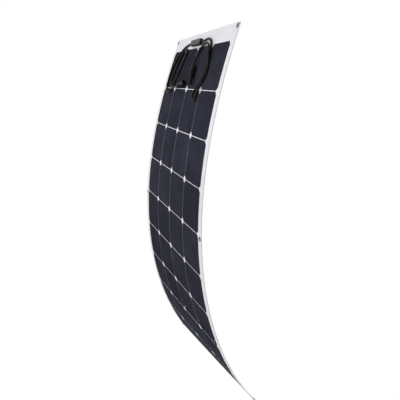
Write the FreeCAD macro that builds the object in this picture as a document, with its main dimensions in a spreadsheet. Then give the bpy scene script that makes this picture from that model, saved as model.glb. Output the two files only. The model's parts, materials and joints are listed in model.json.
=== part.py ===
"""Flexible solar sheet: four columns by nine rows of cells laminated on a thin board, hung by its eyelets.

The sheet hangs on its two top eyelets and is bent backwards about an axis that is skewed from its width.
Axes: +X along the width to the right, +Z up, the cells face -Y, the origin is midway between the top eyelets.
The sheet is built row by row, each row a band of one bend radius, so that the rows can flex on one another.
In a row's own frame X lies along the bend axis, +Y points into the sheet and +Z runs up the sheet.
All lengths are millimetres and all angles degrees.
"""
import FreeCAD, Part
import Sketcher
import math
import os

ROWS = 9
COLUMNS = 4
MIDDLE_ROW = 5
TABS_PER_CELL = 3

# The driving sizes, whose meanings stand in the spreadsheet below.
CELL_SIDE = 125
CELL_GAP = 2
CELL_CORNER = 9
CELL_THICK = 0.2
SIDE_MARGIN = 20
TOP_MARGIN = 44
BOTTOM_MARGIN = 18
SHEET_CORNER = 5
BOARD_THICK = 1.4
SEAL_THICK = 0.7
FILM_THICK = 0.4
SPLIT_GAP = 1.0
SKEW = 10.4
BEND_RADIUS = 1177
BEND_GROWTH = 0.0993
LEAN_TOP = -21.25
EYELET_INSET = 9.5
EYELET_DROP = 8.2
EYELET_BORE = 5
EYELET_WALL = 0.6
EYELET_FLANGE = 7.5
FLANGE_THICK = 0.9
WASHER_RADIUS = 7.2
WASHER_THICK = 0.7
CURL_RADIUS = 6.5
CURL_THICK = 0.6
FIT = 0.05
POCKET_CLEAR = 0.15
TAB_WIDE = 9
TAB_REACH = 6
TAB_THICK = 0.12
TAB_SPACING = 42
RIBBON_WIDE = 4
RIBBON_THICK = 0.2
RIBBON_INSET = 4
BOX_LONG = 90
BOX_HIGH = 16.5
BOX_ACROSS = -16.5
BOX_ABOVE = 12.8
PAD_THICK = 0.8
PAD_INSET = 2
BASE_DEEP = 7.9
LID_DEEP = 2.2
GASKET_THICK = 0.4
BOX_WALL = 1.2
BOX_CORNER = 2
LID_BEVEL = 0.9
TERMINAL_SPACING = 20
TERMINAL_DROP = 4
TERMINAL_LONG = 9
TERMINAL_HIGH = 5
TERMINAL_DEEP = 4
DIODE_RADIUS = 2.2
DIODE_LONG = 10
DIODE_SPACING = 40
DIODE_RISE = 4.2
LEAD_RADIUS = 3
LEAD_RISE = 4.25
LEAD_RUN_OUT = 22
LEAD_RUN_IN = 16
GLAND_RADIUS = 4.2
GLAND_CORE = 3.6
GLAND_RIB = 1.5
GLAND_STEP = 3
GLAND_LONG = 9
NUT_RADIUS = 8.4
NUT_LONG = 15
NUT_TAPER = 5
TAPER_RADIUS = 4.4
SHELL_RADIUS = 7.4
SHELL_LONG = 26
COLLAR_RADIUS = 8.3
COLLAR_LONG = 3
SLEEVE_RADIUS = 5.0
SLEEVE_LONG = 17
SLEEVE_BORE = 3.7
PIN_RADIUS = 1.6
PIN_LONG = 15
ARM_THICK = 1.6
ARM_WIDE = 5
ARM_LONG = 19
ARM_ROOT = 3
ARM_GAP = 1.4
SOCKET_LONG = 17
SOCKET_BORE = 5.6
TUBE_RADIUS = 2.4
TUBE_BORE = 1.7
TUBE_LONG = 7
TUBE_FLOOR = 1
CONNECTOR_LIFT = 0.5

doc = FreeCAD.newDocument("flexible_solar_sheet")
sheet = doc.addObject("Spreadsheet::Sheet", "sizes")
nodes = {}
next_line = 1


# ---------------------------------------------------------------- driving sizes

def size(alias, value, meaning):
    """Write one line of the spreadsheet: its meaning, its value or formula, and its alias."""
    global next_line
    sheet.set(f"A{next_line}", meaning)
    sheet.set(f"B{next_line}", str(value))
    sheet.setAlias(f"B{next_line}", alias)
    next_line += 1


size("cell_side", CELL_SIDE, "side of one square cell")
size("cell_gap", CELL_GAP, "gap between neighbouring cells")
size("cell_corner", CELL_CORNER, "leg of the cut corner of a cell")
size("cell_thick", CELL_THICK, "thickness of a cell")
size("side_margin", SIDE_MARGIN, "border from the last cell pitch to the long edge")
size("top_margin", TOP_MARGIN, "border above the cells, which carries the junction box")
size("bottom_margin", BOTTOM_MARGIN, "border below the cells")
size("sheet_corner", SHEET_CORNER, "radius of the sheet's four corners")
size("board_thick", BOARD_THICK, "glass fibre board behind the cells")
size("seal_thick", SEAL_THICK, "clear encapsulant around the cells")
size("film_thick", FILM_THICK, "textured clear front film")
size("split_gap", SPLIT_GAP, "running gap between the rows, inside the gap between cells")
size("skew", SKEW, "angle between the bend axis and the sheet's width")
size("bend_radius", BEND_RADIUS, "bend radius of the middle row")
size("bend_growth", BEND_GROWTH, "share by which the curvature grows from one row to the next")
size("lean_top", LEAN_TOP, "lean of the surface at the top line of the cells, negative leans forwards")
size("eyelet_inset", EYELET_INSET, "eyelet centre to the edges of the sheet")
size("eyelet_drop", EYELET_DROP, "middle eyelets below the line between two rows")
size("eyelet_bore", EYELET_BORE, "inner radius of an eyelet")
size("eyelet_wall", EYELET_WALL, "wall of the eyelet's barrel")
size("eyelet_flange", EYELET_FLANGE, "outer radius of the eyelet's front flange")
size("flange_thick", FLANGE_THICK, "thickness of the eyelet's front flange")
size("washer_radius", WASHER_RADIUS, "outer radius of the eyelet's washer")
size("washer_thick", WASHER_THICK, "thickness of the eyelet's washer")
size("curl_radius", CURL_RADIUS, "outer radius of the barrel's curled end")
size("curl_thick", CURL_THICK, "thickness of the barrel's curled end")
size("fit", FIT, "clearance of pieces that are pressed or glued together")
size("pocket_clear", POCKET_CLEAR, "clearance over and under what is laminated into the front layers")
size("tab_wide", TAB_WIDE, "width of an interconnect tab")
size("tab_reach", TAB_REACH, "length of a tab under its cell")
size("tab_thick", TAB_THICK, "thickness of a tab")
size("tab_spacing", TAB_SPACING, "distance between neighbouring tabs of a cell")
size("ribbon_wide", RIBBON_WIDE, "width of a bus ribbon")
size("ribbon_thick", RIBBON_THICK, "thickness of a bus ribbon")
size("ribbon_inset", RIBBON_INSET, "clear distance from the cells to a bus ribbon")
size("box_long", BOX_LONG, "length of the junction box along the width of the sheet")
size("box_high", BOX_HIGH, "height of the junction box up the sheet")
size("box_across", BOX_ACROSS, "junction box centre from the sheet's centre line")
size("box_above", BOX_ABOVE, "junction box centre above the cells")
size("pad_thick", PAD_THICK, "adhesive pad under the junction box")
size("pad_inset", PAD_INSET, "pad edge inside the edge of the box")
size("base_deep", BASE_DEEP, "depth of the junction box base")
size("lid_deep", LID_DEEP, "depth of the junction box lid")
size("gasket_thick", GASKET_THICK, "gasket between base and lid")
size("box_wall", BOX_WALL, "wall of the junction box")
size("box_corner", BOX_CORNER, "corner radius of the junction box")
size("lid_bevel", LID_BEVEL, "bevel round the lid's face")
size("terminal_spacing", TERMINAL_SPACING, "distance between neighbouring terminal clips")
size("terminal_drop", TERMINAL_DROP, "terminal clips below the middle of the box")
size("terminal_long", TERMINAL_LONG, "length of a terminal clip")
size("terminal_high", TERMINAL_HIGH, "height of a terminal clip")
size("terminal_deep", TERMINAL_DEEP, "depth of a terminal clip")
size("diode_radius", DIODE_RADIUS, "radius of a bypass diode")
size("diode_long", DIODE_LONG, "length of a bypass diode")
size("diode_spacing", DIODE_SPACING, "distance between the two diodes")
size("diode_rise", DIODE_RISE, "diodes above the middle of the box")
size("lead_radius", LEAD_RADIUS, "outer radius of a lead")
size("lead_rise", LEAD_RISE, "lead axis in front of the box's foot")
size("lead_run_out", LEAD_RUN_OUT, "straight run of a lead out of its gland")
size("lead_run_in", LEAD_RUN_IN, "straight run of a lead into its connector")
size("gland_radius", GLAND_RADIUS, "radius of the ribs of a lead's gland")
size("gland_core", GLAND_CORE, "radius of the gland between its ribs")
size("gland_rib", GLAND_RIB, "length of a rib along the gland")
size("gland_step", GLAND_STEP, "distance from one rib to the next")
size("gland_long", GLAND_LONG, "length of a gland outside the box")
size("nut_radius", NUT_RADIUS, "circumscribed radius of a connector's cap nut")
size("nut_long", NUT_LONG, "length of a cap nut with its tapered end")
size("nut_taper", NUT_TAPER, "length of the tapered end")
size("taper_radius", TAPER_RADIUS, "small radius of the tapered end")
size("shell_radius", SHELL_RADIUS, "radius of a connector's housing")
size("shell_long", SHELL_LONG, "length of a connector's housing")
size("collar_radius", COLLAR_RADIUS, "radius of the housing's collar")
size("collar_long", COLLAR_LONG, "length of the housing's collar")
size("sleeve_radius", SLEEVE_RADIUS, "radius of the plug's front sleeve")
size("sleeve_long", SLEEVE_LONG, "length of the plug's front sleeve")
size("sleeve_bore", SLEEVE_BORE, "bore of the plug's front sleeve")
size("pin_radius", PIN_RADIUS, "radius of the plug's contact pin")
size("pin_long", PIN_LONG, "length of the contact pin")
size("arm_thick", ARM_THICK, "thickness of a latch arm")
size("arm_wide", ARM_WIDE, "width of a latch arm")
size("arm_long", ARM_LONG, "length of a latch arm")
size("arm_root", ARM_ROOT, "length of a latch arm's root inside the housing")
size("arm_gap", ARM_GAP, "gap between a latch arm and the sleeve")
size("socket_long", SOCKET_LONG, "length of the socket's mouth")
size("socket_bore", SOCKET_BORE, "bore of the socket's mouth")
size("tube_radius", TUBE_RADIUS, "outer radius of the socket's contact tube")
size("tube_bore", TUBE_BORE, "bore of the socket's contact tube")
size("tube_long", TUBE_LONG, "length of the contact tube inside the mouth")
size("tube_floor", TUBE_FLOOR, "closed end of the contact tube")
size("connector_lift", CONNECTOR_LIFT, "connector's clearance over the sheet")

# Sizes that follow from the driving ones.
size("pitch", "=cell_side + cell_gap", "cell pitch both ways")
size("half_width", f"=pitch * {COLUMNS} / 2 + side_margin", "half the width of the sheet")
size("total_thick", "=board_thick + seal_thick + film_thick", "thickness of the sheet")
size("row_turn", "=pitch * cos(skew) * 180 / pi", "turn of a row times its radius")
size("top_reach", "=top_margin - eyelet_inset", "top eyelets above the cells")
size("hole_radius", "=eyelet_bore + eyelet_wall + fit", "hole in the laminate for an eyelet")
size("lead_depth", "=fit + pad_thick + lead_rise", "lead axis in front of the sheet at the box")
size("connector_depth", "=collar_radius + connector_lift", "connector axis in front of the sheet")
size("nut_flat", "=nut_radius * cos(30)", "inscribed radius of the cap nut")
size("prism_front", "=pitch / 6", "outline prisms in front of a row's centre")
size("prism_deep", "=pitch * 2 / 3", "depth of the outline prisms")
size("drill_long", "=10 * total_thick", "length of the drills through the laminate")

# The bend, row by row: radius, lean of the row's top line, lean of its centre and places of both.
for row in range(1, ROWS + 1):
    size(f"radius_row_{row}", f"=bend_radius / (1 + bend_growth * {row - MIDDLE_ROW})", "bend radius")
    if row == 1:
        size("lean_row_1", "=lean_top", "lean at the row's top line")
        size("lean_origin", "=lean_top - top_reach * cos(skew) * 180 / pi / radius_row_1", "lean at the origin")
        size("depth_row_1", "=radius_row_1 * (cos(lean_origin) - cos(lean_top))", "top line behind the origin")
        size("climb_row_1", "=radius_row_1 * (sin(lean_origin) - sin(lean_top))", "top line above the origin")
        size("slide_row_1", "=-top_reach * sin(skew)", "top line along the bend axis")
    else:
        above = row - 1
        size(f"lean_row_{row}", f"=lean_row_{above} + row_turn / radius_row_{above}", "lean at the row's top line")
        size(f"depth_row_{row}", f"=depth_row_{above} + radius_row_{above}"
             f" * (cos(lean_row_{above}) - cos(lean_row_{row}))", "top line behind the origin")
        size(f"climb_row_{row}", f"=climb_row_{above} + radius_row_{above}"
             f" * (sin(lean_row_{above}) - sin(lean_row_{row}))", "top line above the origin")
        size(f"slide_row_{row}", f"=slide_row_{above} - pitch * sin(skew)", "top line along the bend axis")
    size(f"lean_mid_{row}", f"=lean_row_{row} + row_turn / radius_row_{row} / 2", "lean at the row's centre")
    size(f"depth_mid_{row}", f"=depth_row_{row} + radius_row_{row}"
         f" * (cos(lean_row_{row}) - cos(lean_mid_{row}))", "centre behind the origin")
    size(f"climb_mid_{row}", f"=climb_row_{row} + radius_row_{row}"
         f" * (sin(lean_row_{row}) - sin(lean_mid_{row}))", "centre above the origin")
    size(f"slide_mid_{row}", f"=slide_row_{row} - pitch * sin(skew) / 2", "centre along the bend axis")
doc.recompute()


def value(alias):
    """Read a size or a derived value from the spreadsheet."""
    return float(sheet.get(alias))


# ---------------------------------------------------------------- frames on the bent sheet

def row_frame(row):
    """Expression of the frame at the centre of a row: X on the bend axis, Y into the sheet, Z up the sheet."""
    along = f"sizes.slide_mid_{row}"
    climb = f"sizes.climb_mid_{row}"
    return (f"placement(vector({along} * cos(sizes.skew) - {climb} * sin(sizes.skew);"
            f" sizes.depth_mid_{row}; {along} * sin(sizes.skew) + {climb} * cos(sizes.skew));"
            f" rotation(vector(0; 1; 0); -sizes.skew) * rotation(vector(1; 0; 0); sizes.lean_mid_{row}))")


def spot(row, across, below, proud="0"):
    """Expression of a frame on the row's front, in the row's frame: X along the width, Y into the sheet.

    across is the distance to the right of the centre line, below the distance under the row's centre and
    proud the height in front of the sheet.
    """
    bend = f"sizes.radius_row_{row}"
    run = f"(({across}) * sin(sizes.skew) + ({below}) * cos(sizes.skew))"
    turn = f"({run} / {bend} * 180 / pi)"
    return (f"placement(vector(({across}) * cos(sizes.skew) - ({below}) * sin(sizes.skew);"
            f" {bend} - ({bend} + ({proud})) * cos({turn}); -({bend} + ({proud})) * sin({turn}));"
            f" rotation(vector(1; 0; 0); {turn}) * rotation(vector(0; 1; 0); sizes.skew))")


def placed(obj, *frames):
    """Bind an object's placement to a chain of frame expressions."""
    obj.setExpression("Placement", " * ".join(frames))
    return obj


def shift(x="0", y="0", z="0", axis="vector(1; 0; 0)", angle="0"):
    """Expression of a plain offset, turned about an axis."""
    return f"placement(vector({x}; {y}; {z}); rotation({axis}; {angle}))"


# ---------------------------------------------------------------- plain shapes

def box(name, long, deep, high, frame=None):
    """A block centred on X and Z that runs from Y = 0 into +Y, in the given frame."""
    block = doc.addObject("Part::Box", name)
    block.setExpression("Length", long)
    block.setExpression("Width", deep)
    block.setExpression("Height", high)
    centre = shift(f"-({long}) / 2", "0", f"-({high}) / 2")
    return placed(block, *([frame] if frame else []), centre)


def rod(name, radius, long, frame):
    """A cylinder whose axis is the frame's X."""
    bar = doc.addObject("Part::Cylinder", name)
    bar.setExpression("Radius", radius)
    bar.setExpression("Height", long)
    return placed(bar, frame, shift(axis="vector(0; 1; 0)", angle="90"))


def post(name, radius, long, frame):
    """A cylinder whose axis is the frame's Y."""
    bar = doc.addObject("Part::Cylinder", name)
    bar.setExpression("Radius", radius)
    bar.setExpression("Height", long)
    return placed(bar, frame, shift(axis="vector(1; 0; 0)", angle="-90"))


def cut(name, base, tool):
    """The first shape without the second."""
    result = doc.addObject("Part::Cut", name)
    result.Base = base
    result.Tool = tool
    return result


def common(name, base, tool):
    """What two shapes share."""
    result = doc.addObject("Part::Common", name)
    result.Base = base
    result.Tool = tool
    return result


def fuse(name, shapes):
    """Several shapes as one."""
    result = doc.addObject("Part::MultiFuse", name)
    result.Shapes = shapes
    return result


def group(name, shapes):
    """Several solids side by side in one object."""
    result = doc.addObject("Part::Compound", name)
    result.Links = shapes
    return result


def keep(node, obj, *frames):
    """Name an object as a sub-part, place it, and list it for the export."""
    obj.Label = node
    if frames:
        placed(obj, *frames)
    nodes[node] = obj
    return obj


# ---------------------------------------------------------------- outlines, cut through the layers of a row

def outline(name, left, right, bottom, top):
    """A deep block over a rectangle of the sheet, in the row's frame, turned by the skew."""
    block = doc.addObject("Part::Box", name)
    block.setExpression("Length", f"({right}) - ({left})")
    block.setExpression("Width", "sizes.prism_deep")
    block.setExpression("Height", f"({top}) - ({bottom})")
    return placed(block, shift(axis="vector(0; 1; 0)", angle="sizes.skew"),
                  shift(left, "-sizes.prism_front", bottom))


def rounded(name, block, at_top):
    """Round the two corners at the sheet's end of an outline block."""
    doc.recompute()
    corners = []
    turn = FreeCAD.Placement(block.Placement).inverse()
    for number, edge in enumerate(block.Shape.Edges, start=1):
        ends = [turn.multVec(vertex.Point) for vertex in edge.Vertexes]
        runs_deep = abs(ends[0].y - ends[1].y) > 1
        high = ends[0].z > float(block.Height) / 2
        if runs_deep and high == at_top:
            corners.append((number, value("sheet_corner"), value("sheet_corner")))
    fillet = doc.addObject("Part::Fillet", name)
    fillet.Base = block
    fillet.Edges = corners
    return fillet


half_row = "(sizes.pitch - sizes.split_gap) / 2"
wide = "sizes.half_width"
outline_plain = outline("outline_plain", f"-{wide}", wide, f"-{half_row}", half_row)
outline_top = rounded("outline_top", outline("block_top", f"-{wide}", wide, f"-{half_row}",
                                             "sizes.pitch / 2 + sizes.top_margin"), True)
outline_bottom = rounded("outline_bottom", outline("block_bottom", f"-{wide}", wide,
                                                   "-(sizes.pitch / 2 + sizes.bottom_margin)", half_row), False)


def row_outline(row):
    """The outline of a row: the first and last rows carry the margins."""
    if row == 1:
        return outline_top
    return outline_bottom if row == ROWS else outline_plain


def cell_prism(column):
    """One cell with its four cut corners, as a deep prism in the row's frame."""
    across = f"({column} - ({COLUMNS} - 1) / 2) * sizes.pitch"
    half = "sizes.cell_side / 2"
    square = outline(f"cell_square_{column}", f"{across} - {half}", f"{across} + {half}", f"-{half}", half)
    lozenge = doc.addObject("Part::Box", f"cell_lozenge_{column}")
    lozenge_side = "(sqrt(2) * (sizes.cell_side - sizes.cell_corner))"
    lozenge.setExpression("Length", lozenge_side)
    lozenge.setExpression("Width", "sizes.prism_deep")
    lozenge.setExpression("Height", lozenge_side)
    placed(lozenge, shift(axis="vector(0; 1; 0)", angle="sizes.skew"), shift(across, "-sizes.prism_front"),
           shift(axis="vector(0; 1; 0)", angle="45"), shift(f"-{lozenge_side} / 2", "0", f"-{lozenge_side} / 2"))
    return common(f"cell_prism_{column}", square, lozenge)


cell_prisms = group("cell_prisms", [cell_prism(column) for column in range(COLUMNS)])


def tab_blocks(name, at_top):
    """Prisms of the interconnect tabs along one edge of a row, from under the cells to the row's edge."""
    blocks = []
    outer = half_row
    inner = "(sizes.cell_side / 2 - sizes.tab_reach)"
    for column in range(COLUMNS):
        for tab in range(TABS_PER_CELL):
            across = (f"(({column} - ({COLUMNS} - 1) / 2) * sizes.pitch"
                      f" + ({tab} - ({TABS_PER_CELL} - 1) / 2) * sizes.tab_spacing)")
            low, high = (inner, outer) if at_top else (f"-{outer}", f"-{inner}")
            blocks.append(outline(f"{name}_{column}_{tab}", f"{across} - sizes.tab_wide / 2",
                                  f"{across} + sizes.tab_wide / 2", low, high))
    return blocks


tabs_up = tab_blocks("tab_up", True)
tabs_down = tab_blocks("tab_down", False)
tab_prisms_top_row = group("tab_prisms_top_row", tabs_down)
tab_prisms_mid_rows = group("tab_prisms_mid_rows", tabs_up + tabs_down)
tab_prisms_end_row = group("tab_prisms_end_row", tabs_up)


def row_tabs(row):
    """Tab prisms of a row: the outer edges of the first and last rows have ribbons instead."""
    if row == 1:
        return tab_prisms_top_row
    return tab_prisms_end_row if row == ROWS else tab_prisms_mid_rows


def ribbon_blocks(name, at_top, spans):
    """Prisms of the bus ribbons: a strip along each span of columns and short legs up to the cells."""
    pieces = []
    near = "(sizes.cell_side / 2 + sizes.ribbon_inset)"
    far = f"({near} + sizes.ribbon_wide)"
    for number, (first, last) in enumerate(spans):
        left = f"(({first} - ({COLUMNS} - 1) / 2) * sizes.pitch - sizes.tab_spacing - sizes.tab_wide / 2)"
        right = f"(({last} - ({COLUMNS} - 1) / 2) * sizes.pitch + sizes.tab_spacing + sizes.tab_wide / 2)"
        low, high = (near, far) if at_top else (f"-{far}", f"-{near}")
        strip = outline(f"{name}_strip_{number}", left, right, low, high)
        legs = []
        for column in range(first, last + 1):
            for tab in range(TABS_PER_CELL):
                across = (f"(({column} - ({COLUMNS} - 1) / 2) * sizes.pitch"
                          f" + ({tab} - ({TABS_PER_CELL} - 1) / 2) * sizes.tab_spacing)")
                inner = "(sizes.cell_side / 2 - sizes.tab_reach)"
                low, high = (inner, near) if at_top else (f"-{near}", f"-{inner}")
                legs.append(outline(f"{name}_leg_{column}_{tab}", f"{across} - sizes.tab_wide / 2",
                                    f"{across} + sizes.tab_wide / 2", low, high))
        pieces.append(fuse(f"{name}_{number}", [strip] + legs))
    return group(name, pieces)


# The four columns are one series string: in at column 0, across the bottom, back over the top and out.
ribbons_top = ribbon_blocks("ribbon_prisms_top", True, [(0, 0), (1, 2), (3, 3)])
ribbons_bottom = ribbon_blocks("ribbon_prisms_bottom", False, [(0, 1), (2, 3)])


# ---------------------------------------------------------------- the laminated rows

SHELL_LONG = "(3 * sizes.half_width)"


def layer(name, row, front, back):
    """A full ring of the row's bend, between two depths behind the sheet's front."""
    rings = []
    for side, depth, extra in (("outer", front, "0"), ("inner", back, "1")):
        ring = doc.addObject("Part::Cylinder", f"{name}_{side}")
        ring.setExpression("Radius", f"sizes.radius_row_{row} - ({depth})")
        ring.setExpression("Height", f"{SHELL_LONG} + 2 * {extra}")
        placed(ring, shift(f"-{SHELL_LONG} / 2 - {extra}", f"sizes.radius_row_{row}"),
               shift(axis="vector(1; 1; 1)", angle="120"))
        rings.append(ring)
    return cut(name, rings[0], rings[1])


def eyelet_spots(row):
    """Where a row's eyelets lie: (distance across, distance below the row's centre)."""
    edge = "sizes.half_width - sizes.eyelet_inset"
    below = {1: "-(sizes.pitch / 2 + sizes.top_reach)",
             MIDDLE_ROW: "-sizes.pitch / 2 + sizes.eyelet_drop",
             ROWS: "sizes.pitch / 2 + sizes.bottom_margin - sizes.eyelet_inset"}.get(row)
    return [(f"{sign}({edge})", below) for sign in ("-", "")] if below else []


def eyelet_holes(row):
    """Pins that cut a row's eyelet holes, in the row's frame."""
    pins = [post(f"hole_{row}_{number}", "sizes.hole_radius", "sizes.drill_long",
                 spot(row, across, below) + " * " + shift("0", "-sizes.drill_long / 2"))
            for number, (across, below) in enumerate(eyelet_spots(row))]
    return group(f"holes_{row}", pins) if pins else None


def laminate_row(row):
    """Board, clear front layers, cells and tabs of one row."""
    film_back = "sizes.film_thick"
    cell_back = f"({film_back} + sizes.cell_thick)"
    tab_front = f"({cell_back} + sizes.fit)"
    tab_back = f"({tab_front} + sizes.tab_thick)"
    seal_back = f"({film_back} + sizes.seal_thick)"
    frame = row_frame(row)
    cells = common(f"cells_{row}", layer(f"cell_layer_{row}", row, film_back, cell_back), cell_prisms)
    tabs = common(f"tabs_{row}", layer(f"tab_layer_{row}", row, tab_front, tab_back), row_tabs(row))
    over = f"({film_back} - sizes.pocket_clear)"
    under = "sizes.pocket_clear"
    hidden = [common(f"cell_pockets_{row}", layer(f"cell_pocket_layer_{row}", row, over, f"{cell_back} + {under}"),
                     cell_prisms),
              common(f"tab_pockets_{row}", layer(f"tab_pocket_layer_{row}", row, film_back, f"{tab_back} + {under}"),
                     row_tabs(row))]
    if row in (1, ROWS):
        strips = ribbons_top if row == 1 else ribbons_bottom
        ribbon_back = f"({tab_front} + sizes.ribbon_thick)"
        ribbons = common(f"ribbons_{row}", layer(f"ribbon_layer_{row}", row, tab_front, ribbon_back), strips)
        pocket = layer(f"ribbon_pocket_layer_{row}", row, film_back, f"{ribbon_back} + {under}")
        hidden.append(common(f"ribbon_pockets_{row}", pocket, strips))
        keep("bus_ribbons_top" if row == 1 else "bus_ribbons_bottom",
             group(f"ribbons_placed_{row}", [ribbons]), frame)
    board = common(f"board_{row}", layer(f"board_layer_{row}", row, seal_back, "sizes.total_thick"),
                   row_outline(row))
    bond = f"({seal_back} - sizes.fit)"
    front = common(f"front_{row}", layer(f"front_layer_{row}", row, "0", bond), row_outline(row))
    front = cut(f"front_pocketed_{row}", front, group(f"hidden_{row}", hidden))
    holes = eyelet_holes(row)
    if holes:
        board = cut(f"board_holed_{row}", board, holes)
        front = cut(f"front_holed_{row}", front, holes)
    keep(f"board_row_{row}", board, frame)
    keep(f"front_film_row_{row}", front, frame)
    keep(f"cells_row_{row}", group(f"cells_placed_{row}", [cells]), frame)
    keep(f"tabs_row_{row}", group(f"tabs_placed_{row}", [tabs]), frame)


for row in range(1, ROWS + 1):
    laminate_row(row)


# ---------------------------------------------------------------- eyelets

def eyelet(name, frame):
    """One eyelet: front flange with a bevelled rim, barrel, curled end, and its washer behind the sheet."""
    rim = "sizes.flange_thick / 2"
    face = "-(sizes.fit + sizes.flange_thick)"
    back = "sizes.total_thick + sizes.fit"
    outer = "sizes.eyelet_bore + sizes.eyelet_wall"
    cone = doc.addObject("Part::Cone", f"{name}_rim")
    cone.setExpression("Radius1", f"sizes.eyelet_flange - {rim}")
    cone.setExpression("Radius2", "sizes.eyelet_flange")
    cone.setExpression("Height", rim)
    placed(cone, frame, shift("0", face), shift(axis="vector(1; 0; 0)", angle="-90"))
    flange = post(f"{name}_flange", "sizes.eyelet_flange", rim, frame + " * " + shift("0", f"{face} + {rim}"))
    barrel = post(f"{name}_barrel", outer, f"{back} + sizes.washer_thick + sizes.curl_thick - ({face})",
                  frame + " * " + shift("0", face))
    curl = post(f"{name}_curl", "sizes.curl_radius", "sizes.curl_thick",
                frame + " * " + shift("0", f"{back} + sizes.washer_thick"))
    drill = frame + " * " + shift("0", "-sizes.drill_long / 2")
    bore = post(f"{name}_bore", "sizes.eyelet_bore", "sizes.drill_long", drill)
    ring = cut(f"{name}_ring", fuse(f"{name}_solid", [cone, flange, barrel, curl]), bore)
    disc = post(f"{name}_disc", "sizes.washer_radius", "sizes.washer_thick",
                frame + " * " + shift("0", back))
    hole = post(f"{name}_disc_hole", f"{outer} + sizes.fit", "sizes.drill_long", drill)
    return [ring, cut(f"{name}_washer", disc, hole)]


for tag, row in (("top", 1), ("middle", MIDDLE_ROW), ("bottom", ROWS)):
    solids = []
    for number, (across, below) in enumerate(eyelet_spots(row)):
        solids += eyelet(f"eyelet_{tag}_{number}", spot(row, across, below))
    keep(f"eyelets_{tag}", group(f"eyelet_group_{tag}", solids), row_frame(row))


# ---------------------------------------------------------------- junction box

BOX_BELOW = "-(sizes.pitch / 2 + sizes.box_above)"
box_frame = row_frame(1) + " * " + spot(1, "sizes.box_across", BOX_BELOW)
pad_front = "(sizes.fit + sizes.pad_thick)"
base_front = f"({pad_front} + sizes.base_deep)"
gasket_front = f"({base_front} + sizes.gasket_thick)"


def rectangle(sketch, long, high):
    """A rectangle centred on the sketch's origin, its two sizes bound to expressions."""
    half_x, half_y = value("box_long") / 2, value("box_high") / 2
    corners = [(-half_x, -half_y), (half_x, -half_y), (half_x, half_y), (-half_x, half_y)]
    for number in range(4):
        start = FreeCAD.Vector(*corners[number], 0)
        end = FreeCAD.Vector(*corners[(number + 1) % 4], 0)
        sketch.addGeometry(Part.LineSegment(start, end), False)
    for number in range(4):
        sketch.addConstraint(Sketcher.Constraint("Coincident", number, 2, (number + 1) % 4, 1))
    sketch.addConstraint(Sketcher.Constraint("Horizontal", 0))
    sketch.addConstraint(Sketcher.Constraint("Horizontal", 2))
    sketch.addConstraint(Sketcher.Constraint("Vertical", 1))
    sketch.addConstraint(Sketcher.Constraint("Vertical", 3))
    sketch.addConstraint(Sketcher.Constraint("Symmetric", 0, 1, 2, 1, -1, 1))
    across = sketch.addConstraint(Sketcher.Constraint("DistanceX", 0, 1, 0, 2, 2 * half_x))
    up = sketch.addConstraint(Sketcher.Constraint("DistanceY", 1, 1, 1, 2, 2 * half_y))
    sketch.setExpression(f"Constraints[{across}]", long)
    sketch.setExpression(f"Constraints[{up}]", high)


def origin_plane(body, role):
    """One of a body's own origin planes."""
    return next(plane for plane in body.Origin.OriginFeatures if plane.Role == role)


def sketch_on(body, name, long, high, offset):
    """A rectangle sketch on the body's XZ plane, offset towards the front."""
    sketch = body.newObject("Sketcher::SketchObject", name)
    sketch.AttachmentSupport = [(origin_plane(body, "XZ_Plane"), "")]
    sketch.MapMode = "FlatFace"
    sketch.setExpression("AttachmentOffset.Base.z", offset)
    rectangle(sketch, long, high)
    return sketch


def tray(name, back, deep, floor_in_front):
    """A rectangular tray with rounded corners, hollowed from its open side; the XZ plane faces -Y."""
    body = doc.addObject("PartDesign::Body", name)
    outer = sketch_on(body, f"{name}_outer", "sizes.box_long", "sizes.box_high", back)
    pad = body.newObject("PartDesign::Pad", f"{name}_pad")
    pad.Profile = outer
    pad.setExpression("Length", deep)
    doc.recompute()
    upright = [f"Edge{number}" for number, edge in enumerate(pad.Shape.Edges, start=1)
               if abs(edge.Vertexes[0].Y - edge.Vertexes[1].Y) > 0.5]
    corner = body.newObject("PartDesign::Fillet", f"{name}_corners")
    corner.Base = (pad, upright)
    corner.setExpression("Radius", "sizes.box_corner")
    doc.recompute()
    inner_at = back if floor_in_front else f"({back}) + ({deep})"
    inner = sketch_on(body, f"{name}_inner", "sizes.box_long - 2 * sizes.box_wall",
                      "sizes.box_high - 2 * sizes.box_wall", inner_at)
    pocket = body.newObject("PartDesign::Pocket", f"{name}_pocket")
    pocket.Profile = inner
    pocket.Reversed = floor_in_front
    pocket.setExpression("Length", f"({deep}) - sizes.box_wall")
    doc.recompute()
    if floor_in_front:
        front_y = pocket.Shape.BoundBox.YMin
        rim = [f"Edge{number}" for number, edge in enumerate(pocket.Shape.Edges, start=1)
               if abs(edge.BoundBox.YMax - front_y) < 0.001]
        bevel = body.newObject("PartDesign::Chamfer", f"{name}_bevel")
        bevel.Base = (pocket, rim)
        bevel.setExpression("Size", "sizes.lid_bevel")
        body.Tip = bevel
    else:
        body.Tip = pocket
    doc.recompute()
    return body


keep("junction_pad", box("pad_block", "sizes.box_long - 2 * sizes.pad_inset", "sizes.pad_thick",
                         "sizes.box_high - 2 * sizes.pad_inset"),
     box_frame, shift("-(sizes.box_long / 2 - sizes.pad_inset)", f"-{pad_front}",
                      "-(sizes.box_high / 2 - sizes.pad_inset)"))

base_tray = tray("base_tray", pad_front, "sizes.base_deep", False)
lead_ports = rod("lead_ports", "sizes.lead_radius", "sizes.box_long + 2",
                 shift("-sizes.box_long / 2 - 1", "-sizes.lead_depth"))
keep("junction_base", cut("junction_base_cut", base_tray, lead_ports), box_frame)

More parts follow.
